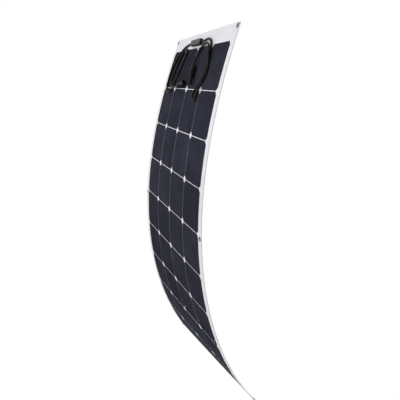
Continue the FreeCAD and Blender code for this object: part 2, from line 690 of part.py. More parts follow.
gasket_ring = cut("gasket_ring",
                  box("gasket_block", "sizes.box_long - 2 * sizes.fit", "sizes.gasket_thick",
                      "sizes.box_high - 2 * sizes.fit", shift("0", f"-{gasket_front}")),
                  box("gasket_hole", "sizes.box_long - 2 * sizes.box_wall", "sizes.gasket_thick * 3",
                      "sizes.box_high - 2 * sizes.box_wall", shift("0", f"-{gasket_front} - sizes.gasket_thick")))
gasket_round = box("gasket_round", "sizes.box_long", "sizes.gasket_thick * 3", "sizes.box_high",
                   shift("0", f"-{gasket_front} - sizes.gasket_thick"))
doc.recompute()
gasket_fillet = doc.addObject("Part::Fillet", "gasket_fillet")
gasket_fillet.Base = gasket_round
gasket_fillet.Edges = [(number, value("box_corner"), value("box_corner"))
                       for number, edge in enumerate(gasket_round.Shape.Edges, start=1)
                       if abs(edge.Vertexes[0].Y - edge.Vertexes[1].Y) > 0.5]
keep("junction_gasket", common("gasket_trimmed", gasket_ring, gasket_fillet), box_frame)

lid_tray = tray("lid_tray", gasket_front, "sizes.lid_deep", True)
keep("junction_lid", group("lid_placed", [lid_tray]), box_frame)


def box_floor(across, up):
    """Frame on the floor inside the junction box base."""
    return shift(across, f"-({pad_front} + sizes.box_wall)", up)


terminals = []
diodes = []
for number in range(4):
    across = f"(({number} - 1.5) * sizes.terminal_spacing)"
    clip = box(f"terminal_{number}", "sizes.terminal_long", "sizes.terminal_deep", "sizes.terminal_high",
               box_floor(across, "-sizes.terminal_drop") + " * " + shift("0", "-sizes.terminal_deep"))
    terminals.append(clip)
for number in range(2):
    across = f"(({number} - 0.5) * sizes.diode_spacing - sizes.diode_long / 2)"
    diodes.append(rod(f"diode_{number}", "sizes.diode_radius", "sizes.diode_long",
                      box_floor(across, "sizes.diode_rise") + " * " + shift("0", "-sizes.diode_radius")))
keep("junction_terminals", group("terminal_group", terminals), box_frame)
keep("junction_diodes", group("diode_group", diodes), box_frame)


def gland(name, turned):
    """A lead's gland: a ribbed boot that narrows from the box wall, blind at its outer face."""
    frame = shift(axis="vector(0; 1; 0)", angle=turned) + " * " + shift("sizes.box_long / 2", "-sizes.lead_depth")
    body = rod(f"{name}_body", "sizes.gland_core", "sizes.gland_long", frame)
    ribs = [rod(f"{name}_rib_{number}", "sizes.gland_radius", "sizes.gland_rib",
                frame + " * " + shift(f"sizes.gland_step * {number}")) for number in range(3)]
    return fuse(name, [body] + ribs)


keep("gland_right", gland("gland_right_solid", "0"), box_frame)
keep("gland_left", gland("gland_left_solid", "180"), box_frame)


# ---------------------------------------------------------------- leads

def on_top_row(across, below, proud):
    """A point given by its distances on the top row's surface, carried on past the row's lower edge.

    across is to the right of the centre line, below is under the top line of the cells and proud is the
    height in front of the sheet.
    """
    skew = math.radians(value("skew"))
    bend = value("radius_row_1")
    from_centre = below - value("pitch") / 2
    turn = (across * math.sin(skew) + from_centre * math.cos(skew)) / bend
    local = FreeCAD.Vector(across * math.cos(skew) - from_centre * math.sin(skew),
                           bend - (bend + proud) * math.cos(turn), -(bend + proud) * math.sin(turn))
    return nodes["board_row_1"].Placement.multVec(local)


def cord_path(points):
    """Straight runs joined by tangent arcs, each as large as its two runs allow."""
    edges = []
    radii = []
    last = points[0]
    for before, corner, after in zip(points, points[1:], points[2:]):
        back = (before - corner).normalize()
        onward = (after - corner).normalize()
        turn = math.pi - back.getAngle(onward)
        shorter = min((before - corner).Length, (after - corner).Length)
        trim = 0.45 * shorter
        radii.append(trim / math.tan(turn / 2))
        start = corner + back * trim
        end = corner + onward * trim
        bisector = (back + onward).normalize()
        centre_gap = radii[-1] / math.cos(turn / 2)
        middle = corner + bisector * (centre_gap - radii[-1])
        edges.append(Part.LineSegment(last, start).toShape())
        edges.append(Part.Arc(start, middle, end).toShape())
        last = end
    edges.append(Part.LineSegment(last, points[-1]).toShape())
    return Part.Wire(edges), radii


def lead(node, points):
    """A lead as a round tube along its route, with its radii and volume printed."""
    radius = value("lead_radius")
    path, radii = cord_path(points)
    section = Part.Wire([Part.Circle(points[0], points[1] - points[0], radius).toShape()])
    shape = path.makePipeShell([section], True, False)
    solid = shape if shape.ShapeType == "Solid" else Part.Solid(shape)
    obj = doc.addObject("Part::Feature", node)
    obj.Shape = solid
    obj.Placement = FreeCAD.Placement()
    expected = math.pi * radius ** 2 * path.Length
    print(f"{node}: length {path.Length:.0f}, smallest radius {min(radii):.1f},"
          f" volume ratio {solid.Volume / expected:.4f}")
    return keep(node, obj)


# Each point: across the sheet, below the top line of the cells, in front of the sheet.
RIGHT_LEAD = [(78, -18, 4.6), (98, -15, 4.0), (115, -6, 3.7), (127, 9, 3.5), (135, 29, 3.5),
              (139, 50, 3.5), (138, 71, 3.5), (131, 89, 3.6), (120, 104, 3.9), (108, 116, 4.3),
              (97, 126, 4.8), (88, 136, 5.4), (87.5, 148, 6.0), (97, 157, 6.4), (111, 156, 6.6),
              (119.5, 145.5, 6.5), (121.5, 133, 6.2), (124, 122, 5.6), (132, 110, 4.8), (141, 98, 4.2),
              (148, 84, 3.8), (151, 67, 4.2), (149, 46, 7.2), (141, 25, 10.8), (125, 9, 10.8),
              (105, -1, 7.6), (86, -5, 5.2), (68, -5, 4.6), (52, -1, 4.5), (44, 11, 4.6),
              (40, 25, 6.0)]
LEFT_LEAD = [(-118, -10.5, 4.0), (-146, -4, 3.6), (-168, 9, 3.5), (-189, 26, 3.5), (-207, 47, 3.5),
             (-219, 72, 3.5), (-226, 97, 3.6), (-222, 120, 4.4), (-205, 137, 5.0), (-180, 144, 5.0),
             (-156, 137, 4.4), (-140, 118, 3.8), (-129, 95, 3.6), (-118, 71, 3.5), (-107, 47, 3.5),
             (-98, 26, 3.5), (-97, 9, 3.5), (-109, -2, 3.5), (-125, 1, 3.5), (-139, 13, 3.5),
             (-152, 31, 3.5), (-164, 52, 3.5), (-170, 74, 4.4), (-166, 96, 8.0), (-152, 114, 11.2),
             (-133, 124, 12.2), (-111, 126, 10.8)]


def connector_frame(across, below, heading):
    """Frame of a connector on the top row: X along the connector away from its lead."""
    return (row_frame(1) + " * " + spot(1, str(across), f"({below}) - sizes.pitch / 2", "sizes.connector_depth")
            + " * " + shift(axis="vector(0; 1; 0)", angle=str(heading)))


# Where each lead enters its connector, and the connector's heading, turned down from the width.
PLUG_AT = (38.0, 57.0)
PLUG_HEADING = 80
SOCKET_AT = (-74.0, 120.0)
SOCKET_HEADING = -10
plug_frame = connector_frame(*PLUG_AT, PLUG_HEADING)
socket_frame = connector_frame(*SOCKET_AT, SOCKET_HEADING)


def cap_nut(name, frame):
    """A six-sided cap nut whose end tapers to the lead."""
    taper = doc.addObject("Part::Cone", f"{name}_taper")
    taper.setExpression("Radius1", "sizes.taper_radius")
    taper.setExpression("Radius2", "sizes.nut_flat")
    taper.setExpression("Height", "sizes.nut_taper")
    placed(taper, frame, shift(axis="vector(0; 1; 0)", angle="90"))
    hexagon = doc.addObject("Part::Prism", f"{name}_hexagon")
    hexagon.Polygon = 6
    hexagon.setExpression("Circumradius", "sizes.nut_radius")
    hexagon.setExpression("Height", "sizes.nut_long - sizes.nut_taper")
    placed(hexagon, frame, shift("sizes.nut_taper"), shift(axis="vector(0; 1; 0)", angle="90"))
    return fuse(name, [taper, hexagon])


def housing(name, frame):
    """The round housing of a connector with the collar against its cap nut."""
    start = frame + " * " + shift("sizes.nut_long")
    return [rod(f"{name}_shell", "sizes.shell_radius", "sizes.shell_long", start),
            rod(f"{name}_collar", "sizes.collar_radius", "sizes.collar_long", start)]


front_at = "(sizes.nut_long + sizes.shell_long)"


def plug_housing(frame):
    """The plug: a bored front sleeve between two latch arms with hooked ends."""
    front = frame + " * " + shift(front_at)
    pieces = housing("plug", frame)
    pieces.append(rod("plug_sleeve", "sizes.sleeve_radius", "sizes.sleeve_long", front))
    arm_off = "(sizes.sleeve_radius + sizes.arm_gap)"
    for side, turned in (("front", "0"), ("rear", "180")):
        arm_frame = front + " * " + shift(axis="vector(1; 0; 0)", angle=turned)
        arm = doc.addObject("Part::Box", f"arm_{side}")
        arm.setExpression("Length", "sizes.arm_long + sizes.arm_root")
        arm.setExpression("Width", "sizes.arm_thick")
        arm.setExpression("Height", "sizes.arm_wide")
        placed(arm, arm_frame, shift("-sizes.arm_root", "0", arm_off), shift("0", "sizes.arm_wide / 2"),
               shift(axis="vector(1; 0; 0)", angle="90"))
        pieces.append(arm)
    bore = rod("plug_bore", "sizes.sleeve_bore", "sizes.sleeve_long + 2", front)
    return cut("plug_bored", fuse("plug_solid", pieces), bore)


def socket_housing(frame):
    """The socket: a mouth bored to take a plug's sleeve."""
    front = frame + " * " + shift(front_at)
    pieces = housing("socket", frame)
    pieces.append(rod("socket_mouth", "sizes.shell_radius", "sizes.socket_long", front))
    bore = rod("socket_bore_tool", "sizes.socket_bore", "sizes.socket_long + 2", front)
    return cut("socket_bored", fuse("socket_solid", pieces), bore)


keep("plug_nut", cap_nut("plug_nut_solid", plug_frame))
keep("plug_housing", plug_housing(plug_frame))
keep("plug_pin", rod("pin_rod", "sizes.pin_radius", "sizes.pin_long", plug_frame + " * " + shift(front_at)))
keep("socket_nut", cap_nut("socket_nut_solid", socket_frame))
keep("socket_housing", socket_housing(socket_frame))
contact = cut("contact_tube",
              rod("tube_rod", "sizes.tube_radius", "sizes.tube_long", socket_frame + " * " + shift(front_at)),
              rod("tube_hole", "sizes.tube_bore", "sizes.tube_long",
                  socket_frame + " * " + shift(f"{front_at} + sizes.tube_floor")))
keep("socket_contact", contact)
doc.recompute()


def gland_exit(side):
    """The first two points of a lead: at the end of its gland and straight out of it."""
    frame = FreeCAD.Placement(nodes["gland_right"].Placement)
    end = value("box_long") / 2 + value("gland_long")
    return [frame.multVec(FreeCAD.Vector(side * along, -value("lead_depth"), 0))
            for along in (end, end + value("lead_run_out"))]


def nut_entry(node):
    """Point and outward direction where a lead meets a connector's cap nut."""
    taper = doc.getObject(f"{node}_solid_taper")
    return taper.Placement.Base, taper.Placement.Rotation.multVec(FreeCAD.Vector(0, 0, -1))


def lead_points(side, route, node):
    """The whole route of a lead: from its gland over its points to its connector."""
    entry, outward = nut_entry(node)
    points = gland_exit(side) + [on_top_row(*point) for point in route]
    return points + [entry + outward * value("lead_run_in"), entry]


lead("lead_right", lead_points(1, RIGHT_LEAD, "plug_nut"))
lead("lead_left", lead_points(-1, LEFT_LEAD, "socket_nut"))
doc.recompute()

# ---------------------------------------------------------------- checks and export

for obj in doc.Objects:
    if "Invalid" in obj.State or "Error" in obj.State:
        raise RuntimeError(f"{obj.Name} failed: {obj.State}")

os.makedirs("parts", exist_ok=True)
for node, obj in nodes.items():
    shape = obj.Shape
    if shape.isNull() or not shape.isValid() or not shape.Solids:
        raise RuntimeError(f"{node} has no valid shape")
    shape.exportStep(f"parts/{node}.step")
print(f"{len(nodes)} nodes written")
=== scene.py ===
"""Looks of a flexible solar sheet that hangs on its eyelets: laminate, cells, box, leads and connectors.

Points and frames are in metres, sizes in millimetres where a docstring or a name says so.
+X runs along the width, +Z up, and the cells face -Y.
"""

import json
import logging
import math
import random
from dataclasses import dataclass, field
from enum import Enum, IntEnum
from typing import Callable, Iterable, Sequence

import bmesh
import bpy
import numpy as np
from mathutils import Matrix, Vector

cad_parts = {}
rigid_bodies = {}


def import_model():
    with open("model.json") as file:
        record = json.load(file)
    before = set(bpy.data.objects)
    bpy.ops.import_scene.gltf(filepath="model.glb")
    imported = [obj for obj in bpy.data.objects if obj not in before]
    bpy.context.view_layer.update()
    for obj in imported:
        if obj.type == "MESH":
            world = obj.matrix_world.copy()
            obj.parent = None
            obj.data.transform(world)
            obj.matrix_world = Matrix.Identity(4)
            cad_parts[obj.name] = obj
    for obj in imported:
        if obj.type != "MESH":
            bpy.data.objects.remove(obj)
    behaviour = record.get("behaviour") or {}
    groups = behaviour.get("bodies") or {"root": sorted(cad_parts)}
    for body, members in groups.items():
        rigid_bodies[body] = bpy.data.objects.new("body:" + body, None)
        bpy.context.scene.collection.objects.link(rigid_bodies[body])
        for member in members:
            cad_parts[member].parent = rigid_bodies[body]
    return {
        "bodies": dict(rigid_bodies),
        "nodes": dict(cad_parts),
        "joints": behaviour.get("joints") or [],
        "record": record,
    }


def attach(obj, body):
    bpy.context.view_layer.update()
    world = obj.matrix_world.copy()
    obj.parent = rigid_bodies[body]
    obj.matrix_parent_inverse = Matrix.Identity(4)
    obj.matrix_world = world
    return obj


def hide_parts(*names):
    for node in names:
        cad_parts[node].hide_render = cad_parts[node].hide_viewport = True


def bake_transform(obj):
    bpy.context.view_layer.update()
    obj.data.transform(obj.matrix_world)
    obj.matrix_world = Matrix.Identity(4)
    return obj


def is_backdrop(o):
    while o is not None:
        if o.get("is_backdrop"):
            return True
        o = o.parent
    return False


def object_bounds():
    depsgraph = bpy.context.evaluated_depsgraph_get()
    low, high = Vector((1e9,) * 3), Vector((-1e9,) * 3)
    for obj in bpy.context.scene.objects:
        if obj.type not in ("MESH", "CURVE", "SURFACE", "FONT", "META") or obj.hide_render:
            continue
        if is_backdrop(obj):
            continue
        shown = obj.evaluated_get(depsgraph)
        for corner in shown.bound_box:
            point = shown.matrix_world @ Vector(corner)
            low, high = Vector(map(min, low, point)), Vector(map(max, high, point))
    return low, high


MM = 0.001
TOP_BODY = "row_1"
# Angles in degrees above which an edge stays sharp.
SHARP_BOX, SHARP_SMALL, SHARP_PLAIN, SHARP_SHEET = 28.0, 30.0, 35.0, 40.0
# Metres between the bands of a wave texture at scale 1.
WAVE_PERIOD = math.tau / 20

Point = tuple[float, float, float]
Loop = list[Point]
Profile = Sequence[tuple[float, float]]
Radial = Callable[[float, float], float]
Sockets = tuple[bpy.types.NodeSocket, bpy.types.NodeSocket, bpy.types.NodeSocket]
log = logging.getLogger("solar_sheet")


# ---------------------------------------------------------------- node and object helpers

def add_node(tree: bpy.types.NodeTree, kind: str, settings: dict | None = None,
             links: dict | None = None) -> bpy.types.Node:
    """Add one shader node.

    Args:
        tree: The node tree that takes it.
        kind: Blender's name of the node type.
        settings: Attributes, and values of input sockets by name or number.
        links: Output sockets to connect, by the name or number of the input.

    Returns:
        The new node.
    """
    node = tree.nodes.new(kind)
    for key, setting in (settings or {}).items():
        if isinstance(key, str) and hasattr(node, key):
            setattr(node, key, setting)
        else:
            node.inputs[key].default_value = setting
    for key, socket in (links or {}).items():
        tree.links.new(socket, node.inputs[key])
    return node


def empty_tree(owner: bpy.types.Material | bpy.types.World) -> bpy.types.NodeTree:
    """Switch the nodes of a material or world on and clear them.

    Args:
        owner: The material or world.

    Returns:
        Its empty node tree.
    """
    owner.use_nodes = True
    owner.node_tree.nodes.clear()
    return owner.node_tree


def linear(code: str) -> tuple[float, float, float, float]:
    """Turn an sRGB colour into linear RGBA.

    Args:
        code: The colour as a hex code with its hash sign.

    Returns:
        Red, green, blue and an alpha of 1.
    """
    parts = [int(code[i:i + 2], 16) / 255 for i in (1, 3, 5)]
    lin = [c / 12.92 if c <= 0.04045 else ((c + 0.055) / 1.055) ** 2.4 for c in parts]
    return lin[0], lin[1], lin[2], 1.0


def smoothstep(t: np.ndarray | float) -> np.ndarray | float:
    """Ease from 0 to 1."""
    t = np.clip(t, 0.0, 1.0)
    return t * t * (3 - 2 * t)


def new_object(name: str, data: bpy.types.ID) -> bpy.types.Object:
    """Make an object and link it to the scene.

    Args:
        name: Name of the object.
        data: Its mesh, curve, camera or light.

    Returns:
        The linked object.
    """
    made = bpy.data.objects.new(name, data)
    bpy.context.scene.collection.objects.link(made)
    return made


def mesh_piece(name: str, verts: Iterable[Sequence[float]], faces: Iterable[Sequence[int]],
               materials: Sequence[bpy.types.Material], slots: Sequence[int] | None = None,
               sharp: float = SHARP_PLAIN) -> bpy.types.Object:
    """Make one object from vertices and faces in the row frame.

    Args:
        name: Name of the piece.
        verts: Vertex positions in metres.
        faces: Vertex numbers of each face.
        materials: Materials of the piece's slots.
        slots: Material slot of each face, all 0 when left out.
        sharp: Angle in degrees above which an edge stays sharp.

    Returns:
        The linked object.
    """
    mesh = bpy.data.meshes.new(name)
    mesh.from_pydata([tuple(v) for v in verts], [], [tuple(f) for f in faces])
    for material in materials:
        mesh.materials.append(material)
    if slots is not None:
        mesh.polygons.foreach_set("material_index", list(slots))
    mesh.polygons.foreach_set("use_smooth", [True] * len(mesh.polygons))
    mesh.validate()
    mesh.update()
    mesh.set_sharp_from_angle(angle=math.radians(sharp))
    return new_object(name, mesh)


def put_on(piece: bpy.types.Object, body: str, node: str) -> None:
    """Let a piece ride on one body in place of a CAD node.

    Args:
        piece: The piece.
        body: Name of the body.
        node: Name of the node that it replaces.
    """
    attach(piece, body)
    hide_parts(node)
    log.info("%s", piece.name)


# ---------------------------------------------------------------- shapes

def grid_faces(rows: int, cols: int) -> list[tuple[int, int, int, int]]:
    """Faces of a grid whose vertices are counted row by row."""
    return [(i * cols + k, (i + 1) * cols + k, (i + 1) * cols + k + 1, i * cols + k + 1)
            for i in range(rows - 1) for k in range(cols - 1)]


def turn_outwards(obj: bpy.types.Object) -> None:
    """Make the face normals of a closed mesh point outwards.

    Args:
        obj: The object whose mesh is changed.
    """
    shape = bmesh.new()
    shape.from_mesh(obj.data)
    bmesh.ops.recalc_face_normals(shape, faces=shape.faces)
    shape.to_mesh(obj.data)
    shape.free()


@dataclass
class Shell:
    """Vertices, faces and material slots gathered for one mesh."""

    verts: list[Point] = field(default_factory=list)
    faces: list[tuple[int, ...]] = field(default_factory=list)
    slots: list[int] = field(default_factory=list)

    def add(self, verts: Iterable[Sequence[float]], faces: Sequence[tuple[int, ...]]) -> None:
        """Append a patch in the first material slot.

        Args:
            verts: Its vertices.
            faces: Its faces, counted from its own first vertex.
        """
        base = len(self.verts)
        self.verts.extend(tuple(v) for v in verts)
        self.faces.extend(tuple(base + i for i in face) for face in faces)
        self.slots.extend([0] * len(faces))

    def loft(self, loops: Sequence[Sequence[Sequence[float]]], wrap: bool = False) -> None:
        """Join closed loops of equal length.

        Args:
            loops: The loops, each a closed ring of points.
            wrap: Join the last loop back to the first instead of capping both ends.
        """
        count, rings = len(loops[0]), len(loops)
        faces: list[tuple[int, ...]] = []
        for i in range(rings if wrap else rings - 1):
            a, b = i * count, ((i + 1) % rings) * count
            for k in range(count):
                n = (k + 1) % count
                faces.append((a + k, a + n, b + n, b + k))
        if not wrap:
            faces.append(tuple(reversed(range(count))))
            faces.append(tuple((rings - 1) * count + k for k in range(count)))
        self.add([p for ring in loops for p in ring], faces)

    def piece(self, name: str, materials: Sequence[bpy.types.Material], sharp: float = SHARP_PLAIN,
              place: Matrix | None = None) -> bpy.types.Object:
        """Make the object with its faces turned outwards.

        Args:
            name: Name of the piece.
            materials: Materials of its slots.
            sharp: Angle in degrees above which an edge stays sharp.
            place: Frame that the vertices are moved to first, if any.

        Returns:
            The linked object.
        """
        if place is not None:
            self.verts = [tuple(place @ Vector(v)) for v in self.verts]
        obj = mesh_piece(name, self.verts, self.faces, materials, self.slots, sharp)
        turn_outwards(obj)
        return obj


def lathe(profile: Profile, segments: int, radial: Radial | None = None) -> list[Loop]:
    """Turn a profile about the X axis.

    Args:
        profile: Pairs of distance along X and radius, in millimetres.
        segments: Number of steps round the axis.
        radial: Optional factor on the radius, from the angle and the distance along X.

    Returns:
        One ring of points in metres for each profile pair.
    """
    rings = []
    for along, radius in profile:
        ring = []
        for k in range(segments):
            angle = math.tau * k / segments
            r = radius * MM * (radial(angle, along) if radial else 1.0)
            ring.append((along * MM, r * math.cos(angle), r * math.sin(angle)))
        rings.append(ring)
    return rings


def rounded_loop(half_x: float, half_z: float, radius: float, y: float, steps: int = 6) -> Loop:
    """Draw a rounded rectangle in the XZ plane.

    Args:
        half_x: Half its width in millimetres.
        half_z: Half its height in millimetres.
        radius: Corner radius in millimetres.
        y: Its depth in millimetres.
        steps: Number of steps in each corner.

    Returns:
        The points in metres.
    """
    radius = max(min(radius, half_x * 0.999, half_z * 0.999), 0.01)
    loop: Loop = []
    for quarter, (sx, sz) in enumerate(((1, 1), (-1, 1), (-1, -1), (1, -1))):
        for k in range(steps + 1):
            angle = math.pi / 2 * (quarter + k / steps)
            loop.append(((sx * (half_x - radius) + radius * math.cos(angle)) * MM, y * MM,
                         (sz * (half_z - radius) + radius * math.sin(angle)) * MM))
    return loop


# ---------------------------------------------------------------- finishes

@dataclass(frozen=True)
class Finish:
    """A procedural finish: two tones mixed by noise, with matching roughness and relief.

    Sizes of grain, mottle and relief are in millimetres on the real surface.
    """

    name: str
    tone: str
    second: str
    rough: float
    rough_spread: float = 0.08
    metallic: float = 0.0
    mottle_mm: float = 30.0
    grain_mm: float = 1.2
    relief: float = 0.05
    coat: float = 0.0
    coat_rough: float = 0.2
    coat_ior: float = 1.45
    specular: float = 0.5
    ior: float = 1.5
    edge: str = "#ffffff"

    def surface(self, tree: bpy.types.NodeTree) -> Sockets:
        """Mix the two tones and draw the grain.

        Args:
            tree: The material's node tree.

        Returns:
            Sockets of the colour, the roughness and the height.
        """
        where = add_node(tree, "ShaderNodeTexCoord").outputs["Object"]
        mottle = add_node(tree, "ShaderNodeTexNoise",
                          {"Scale": 1000 / self.mottle_mm, "Detail": 4.0, "Roughness": 0.55},
                          {"Vector": where})
        grain = add_node(tree, "ShaderNodeTexNoise",
                         {"Scale": 1000 / self.grain_mm, "Detail": 3.0, "Roughness": 0.6},
                         {"Vector": where})
        share = add_node(tree, "ShaderNodeMapRange", {"From Min": 0.35, "From Max": 0.65},
                         {"Value": mottle.outputs["Fac"]})
        colour = add_node(tree, "ShaderNodeMix",
                          {"data_type": "RGBA", 6: linear(self.tone), 7: linear(self.second)},
                          {0: share.outputs["Result"]})
        rough = add_node(tree, "ShaderNodeMapRange",
                         {"From Min": 0.3, "From Max": 0.7,
                          "To Min": max(self.rough - self.rough_spread, 0.02),
                          "To Max": self.rough + self.rough_spread}, {"Value": grain.outputs["Fac"]})
        return colour.outputs[2], rough.outputs["Result"], grain.outputs["Fac"]

    def build(self) -> bpy.types.Material:
        """Make the material once and reuse it.

        Returns:
            The material.
        """
        known = bpy.data.materials.get(self.name)
        if known:
            return known
        material = bpy.data.materials.new(self.name)
        tree = empty_tree(material)
        colour, rough, height = self.surface(tree)
        bump = add_node(tree, "ShaderNodeBump", {"Strength": 1.0, "Distance": self.relief * MM},
                        {"Height": height})
        shader = add_node(tree, "ShaderNodeBsdfPrincipled",
                          {"Metallic": self.metallic, "IOR": self.ior,
                           "Specular IOR Level": self.specular, "Coat Weight": self.coat,
                           "Coat Roughness": self.coat_rough, "Coat IOR": self.coat_ior,
                           "Specular Tint": linear(self.edge)},
                          {"Base Color": colour, "Roughness": rough, "Normal": bump.outputs["Normal"]})
        add_node(tree, "ShaderNodeOutputMaterial", None, {"Surface": shader.outputs["BSDF"]})
        return material


@dataclass(frozen=True)
class CellFinish(Finish):
    """Back-contact silicon under clear film: near black, with a tone of its own for each cell."""

    spread: float = 0.16

    def surface(self, tree: bpy.types.NodeTree) -> Sockets:
        """Scale the colour of a plain finish by the cell's own tone.

        Args:
            tree: The material's node tree.

        Returns:
            Sockets of the colour, the roughness and the height.
        """
        colour, rough, height = super().surface(tree)
        tone = add_node(tree, "ShaderNodeAttribute", {"attribute_name": "cell_tone"})
        scale = add_node(tree, "ShaderNodeMapRange",
                         {"To Min": 1 - self.spread, "To Max": 1 + self.spread},
                         {"Value": tone.outputs["Fac"]})
        scaled = add_node(tree, "ShaderNodeVectorMath", {"operation": "SCALE"},
                          {0: colour, "Scale": scale.outputs["Result"]})
        return scaled.outputs["Vector"], rough, height


@dataclass(frozen=True)
class WovenFinish(Finish):
    """Glass-fibre board: the faint plain weave of its cloth shows as relief and tone."""

    weave_mm: float = 4.0
    cloth_relief: float = 0.35
    cloth_tone: float = 0.93

    def surface(self, tree: bpy.types.NodeTree) -> Sockets:
        """Lay two crossed bands for the cloth over a plain finish.

        Args:
            tree: The material's node tree.

        Returns:
            Sockets of the colour, the roughness and the height.
        """
        colour, rough, height = super().surface(tree)
        where = add_node(tree, "ShaderNodeTexCoord").outputs["Object"]
        scale = WAVE_PERIOD * 1000 / self.weave_mm
        bands = [add_node(tree, "ShaderNodeTexWave",
                          {"wave_type": "BANDS", "bands_direction": way, "Scale": scale,
                           "Distortion": 0.6, "Detail": 1.0}, {"Vector": where})
                 for way in ("X", "Z")]
        cloth = add_node(tree, "ShaderNodeMath", {"operation": "MULTIPLY"},
                         {0: bands[0].outputs["Fac"], 1: bands[1].outputs["Fac"]})
        both = add_node(tree, "ShaderNodeMath", {"operation": "MULTIPLY_ADD", 1: self.cloth_relief},
                        {0: cloth.outputs["Value"], 2: height})
        dark = add_node(tree, "ShaderNodeMapRange", {"To Min": 1.0, "To Max": self.cloth_tone},
                        {"Value": cloth.outputs["Value"]})
        toned = add_node(tree, "ShaderNodeVectorMath", {"operation": "SCALE"},
                         {0: colour, "Scale": dark.outputs["Result"]})
        return toned.outputs["Vector"], rough, both.outputs["Value"]


# White backsheet under clear film: bright but slightly cool, with the film's fine pebble and a soft shine.
WHITE_FRONT = Finish("white_backsheet_under_clear_film", "#dcdce0", "#d5d5da", 0.45, 0.06, mottle_mm=90,
                     grain_mm=2.4, relief=0.03, coat=0.1, coat_rough=0.25, coat_ior=1.3, specular=0.2)
# Painted shade: the same white sheet made grey in the narrow lines between the columns, standing for the
# shade beside the cells' edges.
SHADED_FRONT = Finish("backsheet_between_cells_painted_shade_under_clear_film", "#65666f", "#5c5d66", 0.45, 0.06,
                      mottle_mm=40, grain_mm=2.4, relief=0.03, coat=0.04, coat_rough=0.25, coat_ior=1.3,
                      specular=0.1)
# Dark silicon under the same film: almost black, with a satin shine that turns blue at a low angle.
CELL = CellFinish("back_contact_silicon_under_clear_film", "#40414b", "#484953", 0.4, 0.06, metallic=0.6,
                  mottle_mm=60, grain_mm=2.4, relief=0.03, specular=0.0, edge="#0c1440")
# Tinned copper: a dull grey metal in the gaps between the rows.
TINNED = Finish("tinned_copper_ribbon", "#b9b9bc", "#a5a6aa", 0.45, 0.1, metallic=0.6, mottle_mm=8,
                grain_mm=1.0, relief=0.02)
# Glass-fibre board behind: off-white polymer with its cloth faintly showing.
BOARD_BACK = WovenFinish("glass_fibre_board_back", "#d9dad6", "#d0d2cf", 0.5, 0.07, mottle_mm=120,
                         grain_mm=3, relief=0.12)
# Sawn edge of the laminate: a pale line, a little darker and greener than the front.
BOARD_EDGE = Finish("cut_laminate_edge", "#cfd2d0", "#c0c4c2", 0.6, 0.08, mottle_mm=14, grain_mm=0.6,
                    relief=0.05)
# Nickel-plated brass: bright, slightly warm metal with fine wear.
NICKEL = Finish("nickel_plated_brass", "#8e8c88", "#767470", 0.3, 0.1, metallic=1.0, mottle_mm=4,
                grain_mm=0.5, relief=0.02)
# Foam tape: matt black with open pores.
FOAM = Finish("black_foam_tape", "#202020", "#161616", 0.9, 0.05, mottle_mm=5, grain_mm=0.5, relief=0.15)
# Moulded ABS lid: the base's plastic in a dark warm grey instead of black, painted light that stands for
# the lit top of the box, with a fine spark-eroded grain that catches the light.
BOX_LID = Finish("moulded_abs_lid_painted_light_fine_grain", "#32332e", "#2b2c28", 0.5, 0.08, mottle_mm=25,
                 grain_mm=0.6, relief=0.05, specular=0.15)
# Moulded ABS base: the same grain in black, a dark band under the lid.
BOX_BASE = Finish("moulded_abs_base_fine_grain", "#131313", "#0e0e0e", 0.5, 0.08, mottle_mm=25,
                  grain_mm=0.6, relief=0.05, specular=0.1)
# Silicone gasket: a soft dark grey line between lid and base.
SILICONE = Finish("silicone_gasket", "#2b2c2e", "#242527", 0.62, 0.05, mottle_mm=10, grain_mm=0.8,
                  relief=0.03)
# Rubber boot: matt black, slightly dusty.
RUBBER = Finish("moulded_rubber_boot", "#101010", "#151514", 0.7, 0.06, mottle_mm=12, grain_mm=0.7,
                relief=0.05, specular=0.1)
# Cross-linked cable jacket: satin black with faint drawing marks.
JACKET = Finish("cable_jacket_satin_black", "#0a0a0b", "#0f0f10", 0.5, 0.08, mottle_mm=18, grain_mm=1.0,
                relief=0.03, specular=0.08)
# Glass-filled nylon: black connector bodies, a little greyer where handled.
NYLON = Finish("glass_filled_nylon_black", "#0b0b0c", "#111112", 0.5, 0.1, mottle_mm=9, grain_mm=0.5,
               relief=0.05, specular=0.08)
# Contact metal: tinned copper, bright.
CONTACT = Finish("tinned_contact_metal", "#c4c3bf", "#b2b1ac", 0.28, 0.08, metallic=1.0, mottle_mm=4,
                 grain_mm=0.4, relief=0.01)
# Moulded epoxy of the diodes: plain black, semi-matt.
EPOXY = Finish("moulded_epoxy_diode", "#17181a", "#101112", 0.4, 0.06, mottle_mm=5, grain_mm=0.6,
               relief=0.02)


def turned_piece(name: str, profile: Profile, finish: Finish, place: Matrix, segments: int,
                 ring: bool = False, radial: Radial | None = None,
                 sharp: float = SHARP_SMALL) -> bpy.types.Object:
    """Make a piece that is turned about the X axis of its frame.

    Args:
        name: Name of the piece.
        profile: Pairs of distance along X and radius, in millimetres.
        finish: Its finish.
        place: Its frame.
        segments: Number of steps round the axis.
        ring: Whether the profile closes on itself and leaves a bore.
        radial: Optional factor on the radius, from the angle and the distance along X.
        sharp: Angle in degrees above which an edge stays sharp.

    Returns:
        The linked object.
    """
    shell = Shell()
    shell.loft(lathe(profile, segments, radial), wrap=ring)
    return shell.piece(name, [finish.build()], sharp, place)


# ---------------------------------------------------------------- the bent sheet

